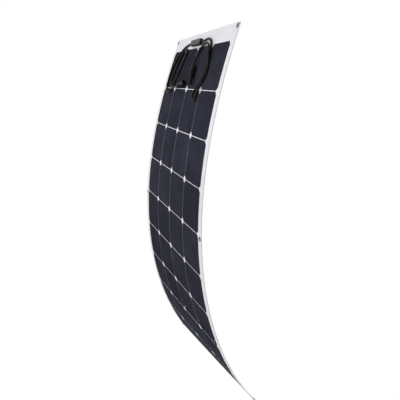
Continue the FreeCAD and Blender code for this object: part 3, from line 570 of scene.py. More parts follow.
@dataclass
class BentSheet:
    """Sizes of the sheet in millimetres, and where its bent surface lies."""

    rows: int = 9
    columns: int = 4
    cell_side: float = 125.0
    cell_gap: float = 2.0
    cell_corner: float = 9.0
    side_margin: float = 20.0
    top_margin: float = 44.0
    bottom_margin: float = 18.0
    corner: float = 5.0
    thick: float = 2.5
    skew: float = math.radians(10.4)
    bend_radius: float = 1177.0
    bend_growth: float = 0.0993
    lean_top: float = math.radians(-21.25)
    eyelet_inset: float = 9.5
    eyelet_drop: float = 8.2

    def __post_init__(self) -> None:
        """Work out the frame at the centre of each row, in millimetres."""
        self.pitch = self.cell_side + self.cell_gap
        self.half_width = self.pitch * self.columns / 2 + self.side_margin
        self.top_reach = self.top_margin - self.eyelet_inset
        self.frames: dict[int, Matrix] = {}
        lean, first = self.lean_top, self.radius(1)
        start = lean - self.top_reach * math.cos(self.skew) / first
        depth = first * (math.cos(start) - math.cos(lean))
        climb = first * (math.sin(start) - math.sin(lean))
        slide = -self.top_reach * math.sin(self.skew)
        for row in range(1, self.rows + 1):
            bend = self.radius(row)
            half = self.pitch * math.cos(self.skew) / bend / 2
            mid = lean + half
            self.frames[row] = self.row_matrix(slide - self.pitch * math.sin(self.skew) / 2,
                                               climb + bend * (math.sin(lean) - math.sin(mid)),
                                               depth + bend * (math.cos(lean) - math.cos(mid)), mid)
            depth += bend * (math.cos(lean) - math.cos(lean + 2 * half))
            climb += bend * (math.sin(lean) - math.sin(lean + 2 * half))
            slide -= self.pitch * math.sin(self.skew)
            lean += 2 * half

    def radius(self, row: int) -> float:
        """Bend radius of a row in millimetres."""
        return self.bend_radius / (1 + self.bend_growth * (row - (self.rows + 1) / 2))

    def row_matrix(self, slide: float, climb: float, depth: float, lean: float) -> Matrix:
        """Work out the frame at a row's centre.

        Args:
            slide: Millimetres along the bend axis.
            climb: Millimetres up, square to the bend axis.
            depth: Millimetres back.
            lean: Angle of the sheet there, in radians.

        Returns:
            The frame: X on the bend axis, Y into the sheet, Z up the sheet.
        """
        c, s = math.cos(self.skew), math.sin(self.skew)
        place = Matrix.Translation((slide * c - climb * s, depth, slide * s + climb * c))
        return place @ Matrix.Rotation(-self.skew, 4, "Y") @ Matrix.Rotation(lean, 4, "X")

    def spot(self, row: int, across: float, down: float, proud: float = 0.0) -> Matrix:
        """Work out a frame on a row's front.

        Args:
            row: Row number, 1 at the top.
            across: Millimetres to the right of the centre line.
            down: Millimetres below the top line of the cells.
            proud: Millimetres in front of the surface.

        Returns:
            The frame in metres: X along the width, Y into the sheet, Z up the sheet.
        """
        bend, below = self.radius(row), down - (row - 0.5) * self.pitch
        c, s = math.cos(self.skew), math.sin(self.skew)
        turn = (across * s + below * c) / bend
        local = Matrix.Translation((across * c - below * s, bend - (bend + proud) * math.cos(turn),
                                    -(bend + proud) * math.sin(turn)))
        turned = Matrix.Rotation(turn, 4, "X") @ Matrix.Rotation(self.skew, 4, "Y")
        whole = self.frames[row] @ local @ turned
        whole.translation *= MM
        return whole

    def on_row(self, row: int, across: np.ndarray, down: np.ndarray, proud: np.ndarray) -> np.ndarray:
        """Place points on one row's cylinder, carried on past its edges.

        Args:
            row: Row number, 1 at the top.
            across: Millimetres to the right of the centre line.
            down: Millimetres below the top line of the cells.
            proud: Millimetres in front of the surface.

        Returns:
            The points in millimetres, three numbers for each input.
        """
        bend, below = self.radius(row), down - (row - 0.5) * self.pitch
        c, s = math.cos(self.skew), math.sin(self.skew)
        turn = (across * s + below * c) / bend
        local = np.stack([across * c - below * s, bend - (bend + proud) * np.cos(turn),
                          -(bend + proud) * np.sin(turn)], axis=-1)
        frame = np.array(self.frames[row])
        return local @ frame[:3, :3].T + frame[:3, 3]

    def surface(self, span: int, across: np.ndarray, down: np.ndarray, proud: np.ndarray) -> np.ndarray:
        """Place points on a span, which runs from the middle of its row to the middle of the next.

        Args:
            span: Number of the span, which is the number of its upper row.
            across: Millimetres to the right of the centre line.
            down: Millimetres below the top line of the cells.
            proud: Millimetres in front of the surface.

        Returns:
            The points in metres, three numbers for each input.
        """
        share = smoothstep((down - (span - 0.5) * self.pitch) / self.pitch)[..., None]
        upper = self.on_row(span, across, down, proud)
        lower = self.on_row(span + 1, across, down, proud)
        return ((1 - share) * upper + share * lower) * MM

    def column_centre(self, column: int) -> float:
        """Millimetres from the centre line to a column's centre."""
        return (column - (self.columns - 1) / 2) * self.pitch


class SkinSlot(IntEnum):
    """Material slots of the laminate."""

    FRONT = 0
    EDGE = 1
    BACK = 2
    # Front faces between the columns, made grey as painted shade.
    SHADED = 3


@dataclass
class Span:
    """The sheet between the middles of two rows, across the line between them; in millimetres."""

    sheet: BentSheet
    number: int
    edge_break: float = 0.3
    break_share: float = 0.2
    corner_angles: tuple[float, ...] = (22, 40, 55, 72, 90)
    corner_stub: float = 0.6
    side_shares: tuple[float, ...] = (0.25, 0.5, 0.75)
    across_step: float = 8.0
    down_steps: int = 24
    top_lines: int = 22
    bottom_lines: int = 18
    inland: float = 1e3
    # Reach and clearance of the painted shade between the columns.
    shaded_reach: float = 10.0
    shaded_clear: float = 1.2
    cell_proud: float = 0.06
    cell_foot: float = 0.25
    cell_lines: int = 13
    cell_half_steps: int = 12
    tab_proud: float = 0.03
    tab_wide: float = 9.0
    tab_spacing: float = 42.0
    tab_across: tuple[float, ...] = (-0.5, -0.17, 0.17, 0.5)
    tab_down: tuple[float, ...] = (-1.6, -0.5, 0.5, 1.6)

    @property
    def is_first(self) -> bool:
        """Whether the span carries the top margin."""
        return self.number == 1

    @property
    def is_last(self) -> bool:
        """Whether the span carries the bottom margin."""
        return self.number == self.sheet.rows - 1

    def lines_down(self) -> tuple[list[float], list[float]]:
        """Work out where the mesh's lines across the sheet lie.

        Returns:
            Millimetres below the top line of the cells, and the distance of each line to the sheet's end,
            which is a large number for a line that the rounded corners don't reach.
        """
        s, far = self.sheet, self.inland
        low, high = (self.number - 0.5) * s.pitch, (self.number + 0.5) * s.pitch
        lines = [(low + (high - low) * k / self.down_steps, far) for k in range(self.down_steps + 1)]
        rim = [0.0, self.edge_break] + [s.corner * (1 - math.cos(math.radians(a)))
                                        for a in self.corner_angles]
        if self.is_first:
            end = -s.top_margin
            body = np.linspace(end + s.corner, low, self.top_lines)[1:-1]
            lines = [(end + d, d) for d in rim] + [(float(v), far) for v in body] + lines
        if self.is_last:
            end = s.rows * s.pitch + s.bottom_margin
            body = np.linspace(high, end - s.corner, self.bottom_lines)[1:-1]
            lines = lines + [(float(v), far) for v in body] + [(end - d, d) for d in reversed(rim)]
        return [line[0] for line in lines], [line[1] for line in lines]

    def half_width_at(self, inset: float) -> float:
        """Work out half the sheet's width, which is less inside the rounded corners.

        Args:
            inset: Distance from the sheet's end in millimetres.

        Returns:
            Half the width in millimetres.
        """
        s = self.sheet
        if inset >= s.corner:
            return s.half_width
        lost = s.corner - math.sqrt(s.corner ** 2 - (s.corner - inset) ** 2)
        return s.half_width - min(lost, s.corner - self.corner_stub)

    def between_columns(self, across: float, down: float) -> bool:
        """Tell whether a place lies between two columns, clear of the diamonds where lines cross; such
        places take the painted shade.

        Args:
            across: Millimetres to the right of the centre line.
            down: Millimetres below the top line of the cells.

        Returns:
            Whether it does.
        """
        s = self.sheet
        aside = abs(across - s.pitch * round(across / s.pitch))
        along = abs(down - s.pitch * round(down / s.pitch))
        inside = abs(across) < (s.columns / 2 - 0.5) * s.pitch and 0 < down < s.rows * s.pitch
        return inside and aside < self.shaded_reach and along > self.shaded_clear * s.cell_corner

    def skin_grid(self) -> tuple[np.ndarray, np.ndarray, np.ndarray]:
        """Lay out the grid of the laminate's faces.

        Returns:
            Millimetres across, millimetres down, and how far the broken edge drops, for each vertex.
        """
        s = self.sheet
        inner = s.half_width - s.corner
        fixed = list(np.linspace(-inner, inner, int(2 * inner / self.across_step) + 1))
        across, ends, drops = [], [], []
        for down, inset in zip(*self.lines_down()):
            wide = self.half_width_at(inset)
            reach = wide - inner
            outer = [inner + reach * share for share in self.side_shares]
            outer += [wide - min(self.edge_break, reach * self.break_share), wide]
            line = [-u for u in reversed(outer)] + fixed + outer
            across.append(line)
            ends.append([down] * len(line))
            drop = [max(self.edge_break - inset, 0.0)] * len(line)
            drop[0] = drop[-1] = self.edge_break
            drops.append(drop)
        return np.array(across), np.array(ends), np.array(drops)

    def build_skin(self) -> bpy.types.Object:
        """Make the closed slab of laminate: white front with painted shade between the columns, cut edge
        and woven back.

        Returns:
            The slab.
        """
        u, d, drop = self.skin_grid()
        front = self.sheet.surface(self.number, u, d, -drop)
        back = self.sheet.surface(self.number, u, d, drop - self.sheet.thick)
        rows, cols = u.shape
        shell = Shell([tuple(p) for side in (front, back) for p in side.reshape(-1, 3)])
        size = rows * cols
        for i in range(rows - 1):
            for k in range(cols - 1):
                a, b = i * cols + k, (i + 1) * cols + k
                end = (self.is_first and i == 0) or (self.is_last and i == rows - 2)
                middle = ((u[i, k] + u[i, k + 1]) / 2, (d[i, k] + d[i + 1, k]) / 2)
                slots = (SkinSlot.FRONT, SkinSlot.BACK)
                if end or k in (0, cols - 2):
                    slots = (SkinSlot.EDGE, SkinSlot.EDGE)
                # Faces between the columns take the grey of painted shade.
                elif self.between_columns(*middle):
                    slots = (SkinSlot.SHADED, SkinSlot.BACK)
                shell.faces += [(a, b, b + 1, a + 1), (size + a, size + a + 1, size + b + 1, size + b)]
                shell.slots += slots
        walls = [(a, size + a, size + a + cols, a + cols) for i in range(rows - 1)
                 for a in (i * cols, (i + 1) * cols - 1)]
        walls += [(a, a + 1, size + a + 1, size + a) for k in range(cols - 1)
                  for a in (k, (rows - 1) * cols + k)]
        shell.faces += walls
        shell.slots += [SkinSlot.EDGE] * len(walls)
        finishes = {SkinSlot.FRONT: WHITE_FRONT, SkinSlot.EDGE: BOARD_EDGE, SkinSlot.BACK: BOARD_BACK,
                    SkinSlot.SHADED: SHADED_FRONT}
        return shell.piece(f"laminate_span_{self.number}", [finishes[slot].build() for slot in SkinSlot],
                           SHARP_SHEET)

    def cell_patches(self) -> list[tuple[int, int, int]]:
        """Work out which parts of the cells lie in the span.

        Returns:
            For each part its row, and the signs of its lower and upper bound about the row's middle.
        """
        top = -1 if self.is_first else 0
        bottom = 1 if self.is_last else 0
        return [(self.number, top, 1), (self.number + 1, -1, bottom)]

    def build_cells(self) -> bpy.types.Object:
        """Make the cells of the span, each with its four cut corners and a tone of its own.

        Returns:
            The cells as one piece.
        """
        s = self.sheet
        half, notch = s.cell_side / 2, s.cell_corner
        lines = np.array([-half, -half + notch / 3, -half + 2 * notch / 3]
                         + list(np.linspace(-half + notch, half - notch, self.cell_lines))
                         + [half - 2 * notch / 3, half - notch / 3, half])
        reach = np.minimum(half, 2 * half - notch - np.abs(lines))
        shell, tones = Shell(), []
        for row, low, high in self.cell_patches():
            steps = self.cell_half_steps * (high - low)
            for column in range(s.columns):
                tone = random.Random(31 * row + column).random()
                u = np.repeat((lines + s.column_centre(column))[None, :], steps + 1, axis=0)
                d = np.linspace(low, high, steps + 1)[:, None] * reach[None, :] + (row - 0.5) * s.pitch
                proud = np.full_like(u, self.cell_proud)
                top = s.surface(self.number, u, d, proud).reshape(-1, 3)
                foot = s.surface(self.number, u, d, proud - self.cell_foot).reshape(-1, 3)
                before = len(shell.faces)
                shell.add(top, grid_faces(*u.shape))
                for chain in self.rim_indices(*u.shape, low == -1, high == 1):
                    n = len(chain)
                    shell.add([top[i] for i in chain] + [foot[i] for i in chain],
                              [(i, n + i, n + i + 1, i + 1) for i in range(n - 1)])
                tones += [tone] * (len(shell.faces) - before)
        cells = mesh_piece(f"cells_span_{self.number}", shell.verts, shell.faces, [CELL.build()],
                           shell.slots, SHARP_SHEET)
        tone_layer = cells.data.attributes.new("cell_tone", "FLOAT", "FACE")
        tone_layer.data.foreach_set("value", tones)
        return cells

    @staticmethod
    def rim_indices(rows: int, cols: int, has_top: bool, has_bottom: bool) -> list[list[int]]:
        """List the vertices along the free edges of a patch, with the patch on their left.

        Args:
            rows: Number of vertices down the patch.
            cols: Number of vertices across it.
            has_top: Whether its upper edge is free.
            has_bottom: Whether its lower edge is free.

        Returns:
            A chain of vertex numbers for each free edge.
        """
        chains = [[i * cols for i in range(rows)], [i * cols + cols - 1 for i in reversed(range(rows))]]
        if has_top:
            chains.append(list(reversed(range(cols))))
        if has_bottom:
            chains.append([(rows - 1) * cols + k for k in range(cols)])
        return chains

    def build_tabs(self) -> bpy.types.Object:
        """Make the tinned tabs that bridge the gap between the two rows.

        Returns:
            The tabs as one piece.
        """
        s, shell = self.sheet, Shell()
        for column in range(s.columns):
            for tab in (-1, 0, 1):
                centre = s.column_centre(column) + tab * self.tab_spacing
                u, d = np.meshgrid(centre + np.array(self.tab_across) * self.tab_wide,
                                   self.number * s.pitch + np.array(self.tab_down))
                points = s.surface(self.number, u, d, np.full_like(u, self.tab_proud))
                shell.add(points.reshape(-1, 3), grid_faces(*u.shape))
        return mesh_piece(f"tabs_span_{self.number}", shell.verts, shell.faces, [TINNED.build()],
                          shell.slots)

    def ends(self) -> tuple[Point, Point]:
        """Find the middles of the span's two rows.

        Returns:
            The middles of its two rows, in metres.
        """
        s, n = self.sheet, self.number
        zero = np.zeros(2)
        pair = s.surface(n, zero, np.array([(n - 0.5) * s.pitch, (n + 0.5) * s.pitch]), zero)
        return tuple(pair[0]), tuple(pair[1])

    def fit_to_frame(self, piece: bpy.types.Object, nodes: Sequence[str]) -> None:
        """Bake a piece of the span into place and hide the CAD nodes that it replaces.

        Args:
            piece: The piece.
            nodes: Names of the nodes, without their row.
        """
        start, end = self.ends()
        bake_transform(piece)
        rows = [self.number] + ([self.number + 1] if self.is_last else [])
        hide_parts(*[f"{node}_row_{row}" for row in rows for node in nodes])
        log.info("%s", piece.name)


# ---------------------------------------------------------------- eyelets

@dataclass
class Eyelet:
    """A rolled metal eyelet with its washer behind the sheet; sizes in millimetres."""

    bore: float = 5.0
    wall: float = 0.6
    flange: float = 7.5
    flange_thick: float = 0.9
    fit: float = 0.05
    washer: float = 7.2
    washer_thick: float = 0.7
    washer_break: float = 0.15
    curl: float = 6.5
    curl_thick: float = 0.6
    segments: int = 40

    def profile(self, thick: float) -> Profile:
        """Draw the closed profile of the rolled ring.

        Args:
            thick: Thickness of the sheet.

        Returns:
            Pairs of depth behind the front and radius.
        """
        face, back = -(self.fit + self.flange_thick), thick + self.fit + self.washer_thick
        outer = self.bore + self.wall
        return [(back + self.curl_thick * 0.4, self.bore), (1.0, self.bore), (-0.2, self.bore + 0.02),
                (face + 0.35, self.bore + 0.25), (face + 0.1, self.bore + 0.7), (face, self.bore + 1.3),
                (face + 0.08, self.flange - 0.6), (face + 0.3, self.flange - 0.15),
                (face + 0.55, self.flange), (-self.fit - 0.05, self.flange - 0.1),
                (-self.fit, self.flange - 0.5), (-self.fit, outer), (back, outer),
                (back, self.curl - 0.3), (back + self.curl_thick * 0.5, self.curl),
                (back + self.curl_thick, self.curl - 0.5), (back + self.curl_thick, self.bore + 0.5)]

    def washer_profile(self, thick: float) -> Profile:
        """Draw the closed profile of the washer.

        Args:
            thick: Thickness of the sheet.

        Returns:
            Pairs of depth behind the front and radius.
        """
        near, far = thick + self.fit, thick + self.fit + self.washer_thick
        inner, soft = self.bore + self.wall + self.fit, self.washer_break
        return [(near, inner), (near, self.washer - soft), (near + soft, self.washer),
                (far - soft, self.washer), (far, self.washer - soft), (far, inner)]

    def build(self, name: str, place: Matrix, thick: float) -> list[bpy.types.Object]:
        """Make the ring and the washer.

        Args:
            name: Which eyelet it is.
            place: Frame on the front of the sheet, whose Y runs into the sheet.
            thick: Thickness of the sheet.

        Returns:
            The ring and the washer.
        """
        turned = place @ Matrix.Rotation(math.pi / 2, 4, "Z")
        return [turned_piece(f"eyelet_{name}_{tag}", profile, NICKEL, turned, self.segments, ring=True,
                             sharp=SHARP_SHEET)
                for tag, profile in (("ring", self.profile(thick)), ("washer", self.washer_profile(thick)))]


# ---------------------------------------------------------------- junction box

@dataclass
class JunctionBox:
    """The flat box above the cells; sizes in millimetres, heights in front of the sheet."""

    long: float = 90.0
    high: float = 16.5
    across: float = -16.5
    above: float = 12.8
    corner: float = 2.0
    least_corner: float = 0.6
    fit: float = 0.05
    pad_thick: float = 0.8
    pad_inset: float = 2.0
    base_deep: float = 7.9
    gasket_thick: float = 0.4
    lid_deep: float = 2.2
    hook_share: float = 0.3
    hook_half_wide: float = 3.2
    hook_half_high: float = 1.3
    hook_corner: float = 0.4
    hook_sunk: float = 0.5
    hook_low: float = 3.2
    hook_high: float = 1.2
    lead_rise: float = 4.25
    gland_long: float = 9.0
    boot_outside: Profile = (
        (-0.8, 3.8), (0.0, 4.2), (1.5, 4.2), (1.7, 3.7), (2.8, 3.6), (3.0, 4.1), (4.5, 4.05), (4.7, 3.6),
        (5.8, 3.55), (6.0, 3.95), (7.5, 3.9), (7.7, 3.5), (9.0, 3.4), (12.0, 3.3), (15.5, 3.2), (16.0, 3.1))
    boot_inside: Profile = ((16.0, 2.9), (9.0, 2.9), (8.8, 0.6))

    @property
    def lead_depth(self) -> float:
        """Height of the leads' axis in front of the sheet."""
        return self.fit + self.pad_thick + self.lead_rise

    def place(self, sheet: BentSheet) -> Matrix:
        """Frame of the box on the sheet."""
        return sheet.spot(1, self.across, -self.above)

    def layer(self, name: str, profile: Profile, finish: Finish, place: Matrix,
              shell: Shell | None = None) -> bpy.types.Object:
        """Make one moulded layer of the box.

        Args:
            name: Name of the piece.
            profile: Pairs of inset from the box's outline and height in front of the sheet.
            finish: Finish of the layer.
            place: Frame of the box.
            shell: Shell that already holds details of the layer.

        Returns:
            The new piece.
        """
        shell = shell or Shell()
        shell.loft([rounded_loop(self.long / 2 - inset, self.high / 2 - inset,
                                 max(self.corner - inset, self.least_corner), -height)
                    for inset, height in profile])
        return shell.piece(name, [finish.build()], SHARP_BOX, place)

    def hooks(self, low: float, high: float) -> Shell:
        """Draw the small snap hooks on the long sides that hold the lid.

        Args:
            low: Height of their lower end.
            high: Height of their upper end.

        Returns:
            A shell with the four hooks.
        """
        shell = Shell()
        for share in (-self.hook_share, self.hook_share):
            for side in (-1, 1):
                right, up = share * self.long * MM, side * (self.high / 2 - self.hook_sunk) * MM
                loops = []
                for inset, height in ((0.6, low), (0.0, low + 0.5), (0.0, high - 0.6), (0.5, high)):
                    ring = rounded_loop(self.hook_half_wide - inset * 0.5, self.hook_half_high - inset,
                                        self.hook_corner, -height, steps=3)
                    loops.append([(p[0] + right, p[1], p[2] + up) for p in ring])
                shell.loft(loops)
        return shell

    def build(self, sheet: BentSheet) -> None:
        """Make the pad, base, gasket, lid and boots, and put them on the first row.

        Args:
            sheet: The sheet that carries the box.
        """
        place = self.place(sheet)
        pad = self.fit + self.pad_thick
        base = pad + self.base_deep
        gasket = base + self.gasket_thick
        front = gasket + self.lid_deep
        inset = self.pad_inset
        pad_profile = [(inset, self.fit), (inset - 0.15, self.fit + 0.3), (inset - 0.05, pad)]
        base_profile = [(0.5, pad), (0.0, pad + 0.5), (0.0, base - 0.2), (0.15, base)]
        gasket_profile = [(0.35, base), (0.25, base + 0.25), (0.35, gasket)]
        lid_profile = [(0.15, gasket), (0.0, gasket + 0.25), (0.0, front - 0.9), (0.15, front - 0.5),
                       (0.45, front - 0.15), (0.9, front), (2.4, front), (2.7, front - 0.35),
                       (3.1, front - 0.35), (3.4, front - 0.05)]
        hooks = self.hooks(pad + self.hook_low, base + self.hook_high)
        layers = [
            (self.layer("junction_foam_pad", pad_profile, FOAM, place), "junction_pad", "foam"),
            (self.layer("junction_box_base", base_profile, BOX_BASE, place, hooks), "junction_base", "box"),
            (self.layer("junction_box_gasket", gasket_profile, SILICONE, place), "junction_gasket", "seal"),
            # The lid's grey is painted light on the top of the box.
            (self.layer("junction_box_lid", lid_profile, BOX_LID, place), "junction_lid", "box")]
        for piece, node, slot in layers:
            put_on(piece, TOP_BODY, node)
        for side, tag in ((1, "right"), (-1, "left")):
            self.build_gland(place, side, tag)

    def build_gland(self, place: Matrix, side: int, tag: str) -> None:
        """Make one ribbed boot that narrows along its lead.

        Args:
            place: Frame of the box.
            side: 1 for the right end of the box, -1 for the left.
            tag: Name of that end.
        """
        turn = Matrix.Rotation(0.0 if side > 0 else math.pi, 4, "Y")
        spot = Matrix.Translation((side * self.long / 2 * MM, -self.lead_depth * MM, 0.0))
        gland = turned_piece(f"lead_gland_{tag}", self.boot_outside + self.boot_inside, RUBBER,
                             place @ spot @ turn, segments=32)
        put_on(gland, TOP_BODY, f"gland_{tag}")

    def lead_exit(self, sheet: BentSheet, side: int, along: float) -> Point:
        """A point on the axis of a boot, at a distance from the middle of the box."""
        return tuple(self.place(sheet) @ Vector((side * along * MM, -self.lead_depth * MM, 0.0)))


# ---------------------------------------------------------------- connectors and leads

class Mate(Enum):
    """The two halves of a lead connector."""

    PLUG = "plug"
    SOCKET = "socket"


@dataclass
class Connector:
    """One round connector: cap nut, housing with grips, and its mating end; sizes in millimetres."""

    mate: Mate
    across: float
    down: float
    heading: float
    lift: float = 8.8
    nut_long: float = 15.0
    nut_radius: float = 8.4
    nut_taper: float = 5.0
    nut_swell: float = 1.12
    taper_radius: float = 4.4
    shell_long: float = 26.0
    shell_radius: float = 7.4
    collar_radius: float = 8.3
    collar_long: float = 3.0
    collar_break: float = 0.4
    grooves: int = 5
    groove_start: float = 7.0
    groove_pitch: float = 2.6
    groove_deep: float = 0.5
    sleeve_radius: float = 5.0
    sleeve_bore: float = 3.7
    socket_bore: float = 5.6
    mouth_long: float = 17.0
    arm_half_wide: float = 2.5
    arm_corner: float = 0.35
    arm_stations: tuple[Point, ...] = (
        (-3.0, 5.6, 1.6), (0.0, 6.2, 1.7), (4.0, 6.5, 1.5), (9.0, 6.8, 1.4), (13.5, 7.1, 1.4),
        (15.5, 7.3, 1.7), (16.6, 7.4, 2.6), (17.6, 7.0, 2.2), (19.0, 6.6, 1.0))

    @property
    def shoulder(self) -> float:
        """How far along the connector its housing's front shoulder lies."""
        return self.nut_long + self.shell_long

    def place(self, sheet: BentSheet) -> Matrix:
        """Frame of the connector, whose X runs along it away from its lead."""
        turn = Matrix.Rotation(math.radians(self.heading), 4, "Y")
        return sheet.spot(1, self.across, self.down, self.lift) @ turn

    def hexagon(self, angle: float, along: float) -> float:
        """Turn the round of the nut into a soft hexagon towards the housing.

        Args:
            angle: Angle round the axis in radians.
            along: Distance from the lead's end.

        Returns:
            Factor on the radius.
        """
        share = float(smoothstep((along - self.nut_taper * 0.6) / (self.nut_taper * 0.5)))
        sector = (angle + math.pi / 6) % (math.pi / 3) - math.pi / 6
        return 1 + share * (min(1 / math.cos(sector), self.nut_swell) - 1)

    def build_nut(self, place: Matrix) -> bpy.types.Object:
        """Make the six-sided cap nut with its tapered lead end and finger grooves.

        Args:
            place: Frame of the connector.

        Returns:
            The nut.
        """
        flat, groove = self.nut_radius * math.cos(math.pi / 6), 0.45
        profile = [(0.0, self.taper_radius - 0.5), (0.3, self.taper_radius), (3.0, flat - 1.1),
                   (4.4, flat - 0.35), (5.2, flat), (8.6, flat), (8.9, flat - groove),
                   (9.7, flat - groove), (10.0, flat), (14.6, flat), (15.0, flat - 0.4)]
        return turned_piece(f"{self.mate.value}_cap_nut", profile, NYLON, place, segments=48,
                            radial=self.hexagon)

    def body_profile(self) -> list[tuple[float, float]]:
        """Draw the outside of the housing up to its front shoulder.

        Returns:
            Pairs of distance along the connector and radius.
        """
        start, end, soft = self.nut_long, self.shoulder, self.collar_break
        neck = start + self.collar_long
        points = [(start, self.collar_radius - soft), (start + soft, self.collar_radius),
                  (neck - soft, self.collar_radius), (neck, self.collar_radius - soft),
                  (neck + 0.1, self.shell_radius)]
        bottom = self.shell_radius - self.groove_deep
        for k in range(self.grooves):
            at = start + self.groove_start + self.groove_pitch * k
            points += [(at, self.shell_radius), (at + 0.3, bottom), (at + 1.0, bottom),
                       (at + 1.3, self.shell_radius)]
        return points + [(end - 0.6, self.shell_radius), (end, self.shell_radius - 0.6)]

    def build_housing(self, place: Matrix) -> bpy.types.Object:
        """Make the housing with its mating end open.

        Args:
            place: Frame of the connector.

        Returns:
            The housing.
        """
        end, mouth, shell = self.shoulder, self.shoulder + self.mouth_long, Shell()
        if self.mate is Mate.PLUG:
            outer, bore = self.sleeve_radius, self.sleeve_bore
            profile = self.body_profile() + [(end + 0.1, outer), (mouth - 0.5, outer), (mouth, outer - 0.4),
                                             (mouth, bore + 0.2), (mouth - 0.4, bore), (end + 0.2, bore)]
            for side in (-1, 1):
                self.add_arm(shell, side)
        else:
            outer, bore = self.shell_radius, self.socket_bore
            profile = self.body_profile()[:-1] + [(mouth - 0.6, outer), (mouth, outer - 0.5),
                                                  (mouth, bore + 0.3), (mouth - 0.5, bore),
                                                  (end + 0.2, bore)]
        shell.loft(lathe(profile, segments=40))
        return shell.piece(f"{self.mate.value}_housing_shell", [NYLON.build()], SHARP_SMALL, place)

    def add_arm(self, shell: Shell, side: int) -> None:
        """Add one springy latch arm that stands off the sleeve and ends in a hook.

        Args:
            shell: The shell that takes it.
            side: 1 or -1, the side of the sleeve.
        """
        loops = []
        for along, off, thick in self.arm_stations:
            ring = rounded_loop(self.arm_half_wide, thick / 2, self.arm_corner, y=0.0, steps=3)
            loops.append([((self.shoulder + along) * MM, p[0], side * (off + thick / 2) * MM + p[2])
                          for p in ring])
        shell.loft(loops)

    def build_contact(self, place: Matrix) -> bpy.types.Object:
        """Make the metal contact: a round pin, or a slotted tube.

        Args:
            place: Frame of the connector.

        Returns:
            The contact.
        """
        end = self.shoulder
        profile = [(end, 2.4), (end + 6.6, 2.4), (end + 7.0, 2.1), (end + 7.0, 1.75), (end + 1.0, 1.7)]
        if self.mate is Mate.PLUG:
            profile = [(end, 1.6), (end + 13.0, 1.6), (end + 14.4, 1.2), (end + 15.0, 0.5)]
        return turned_piece(f"{self.mate.value}_contact_metal", profile, CONTACT, place, segments=28)

    def build(self, sheet: BentSheet) -> list[bpy.types.Object]:
        """Make the whole connector and put it on the first row.

        Args:
            sheet: The sheet that it lies on.

        Returns:
            The pieces of the connector.
        """
        place = self.place(sheet)
        tag = self.mate.value
        contact = "plug_pin" if self.mate is Mate.PLUG else "socket_contact"
        made = [(self.build_nut(place), f"{tag}_nut", "connector"),
                (self.build_housing(place), f"{tag}_housing", "connector"),
                (self.build_contact(place), contact, "contact")]
        for piece, node, slot in made:
            put_on(piece, TOP_BODY, node)
        return [piece for piece, _, _ in made]


@dataclass
class Lead:
    """One free lead: it leaves its boot, loops over the sheet and ends in its connector.

    Each route entry is millimetres across the sheet, below the top line of the cells, and in front of it.
    The length is in metres and is not used; the other sizes are in millimetres.
    """

    tag: str
    side: int
    route: Sequence[Point]
    length: float
    radius: float = 3.0
    run_out: float = 22.0
    run_in: float = 16.0

    def points(self, sheet: BentSheet, box: JunctionBox, mate: Connector) -> list[Point]:
        """Control points of the lead in the row frame.

        Args:
            sheet: The sheet it lies over.
            box: The box it leaves.
            mate: The connector it ends in.

        Returns:
            The points in metres.
        """
        end = box.long / 2 + box.gland_long
        first = [box.lead_exit(sheet, self.side, along) for along in (end, end + self.run_out)]
        lay = [tuple(sheet.spot(1, *point).translation) for point in self.route]
        place = mate.place(sheet)
        last = [tuple(place @ Vector((-along * MM, 0.0, 0.0))) for along in (self.run_in, 0.0)]
        return first + lay + last

    def build(self, sheet: BentSheet, box: JunctionBox, mate: Connector) -> None:
        """Make the lead as a smooth curve with its real thickness, and its connector.

        Args:
            sheet: The sheet it lies over.
            box: The box it leaves.
            mate: The connector it ends in.
        """
        points = self.points(sheet, box, mate)
        data = bpy.data.curves.new(f"lead_{self.tag}_cable", "CURVE")
        data.dimensions = "3D"
        data.resolution_u = 10
        data.bevel_depth = self.radius * MM
        data.bevel_resolution = 6
        data.use_fill_caps = True
        spline = data.splines.new("NURBS")
        spline.points.add(len(points) - 1)
        for knot, point in zip(spline.points, points):
            knot.co = (*point, 1.0)
        spline.order_u = 3
        spline.use_endpoint_u = True
        data.materials.append(JACKET.build())
        lead = new_object(f"lead_{self.tag}_cable", data)
        put_on(lead, TOP_BODY, f"lead_{self.tag}")
        pieces = mate.build(sheet)


RIGHT_ROUTE = [(78, -18, 4.6), (98, -15, 4.0), (115, -6, 3.7), (127, 9, 3.5), (135, 29, 3.5),
               (139, 50, 3.5), (138, 71, 3.5), (131, 89, 3.6), (120, 104, 3.9), (108, 116, 4.3),
               (97, 126, 4.8), (88, 136, 5.4), (87.5, 148, 6.0), (97, 157, 6.4), (111, 156, 6.6),
               (119.5, 145.5, 6.5), (121.5, 133, 6.2), (124, 122, 5.6), (132, 110, 4.8), (141, 98, 4.2),
               (148, 84, 3.8), (151, 67, 4.2), (149, 46, 7.2), (141, 25, 10.8), (125, 9, 10.8),
               (105, -1, 7.6), (86, -5, 5.2), (68, -5, 4.6), (52, -1, 4.5), (44, 11, 4.6), (40, 25, 6.0)]
LEFT_ROUTE = [(-118, -10.5, 4.0), (-146, -4, 3.6), (-168, 9, 3.5), (-189, 26, 3.5), (-207, 47, 3.5),
              (-219, 72, 3.5), (-226, 97, 3.6), (-222, 120, 4.4), (-205, 137, 5.0), (-180, 144, 5.0),
              (-156, 137, 4.4), (-140, 118, 3.8), (-129, 95, 3.6), (-118, 71, 3.5), (-107, 47, 3.5),
              (-98, 26, 3.5), (-97, 9, 3.5), (-109, -2, 3.5), (-125, 1, 3.5), (-139, 13, 3.5),
              (-152, 31, 3.5), (-164, 52, 3.5), (-170, 74, 4.4), (-166, 96, 8.0), (-152, 114, 11.2),
              (-133, 124, 12.2), (-111, 126, 10.8)]


# ---------------------------------------------------------------- studio

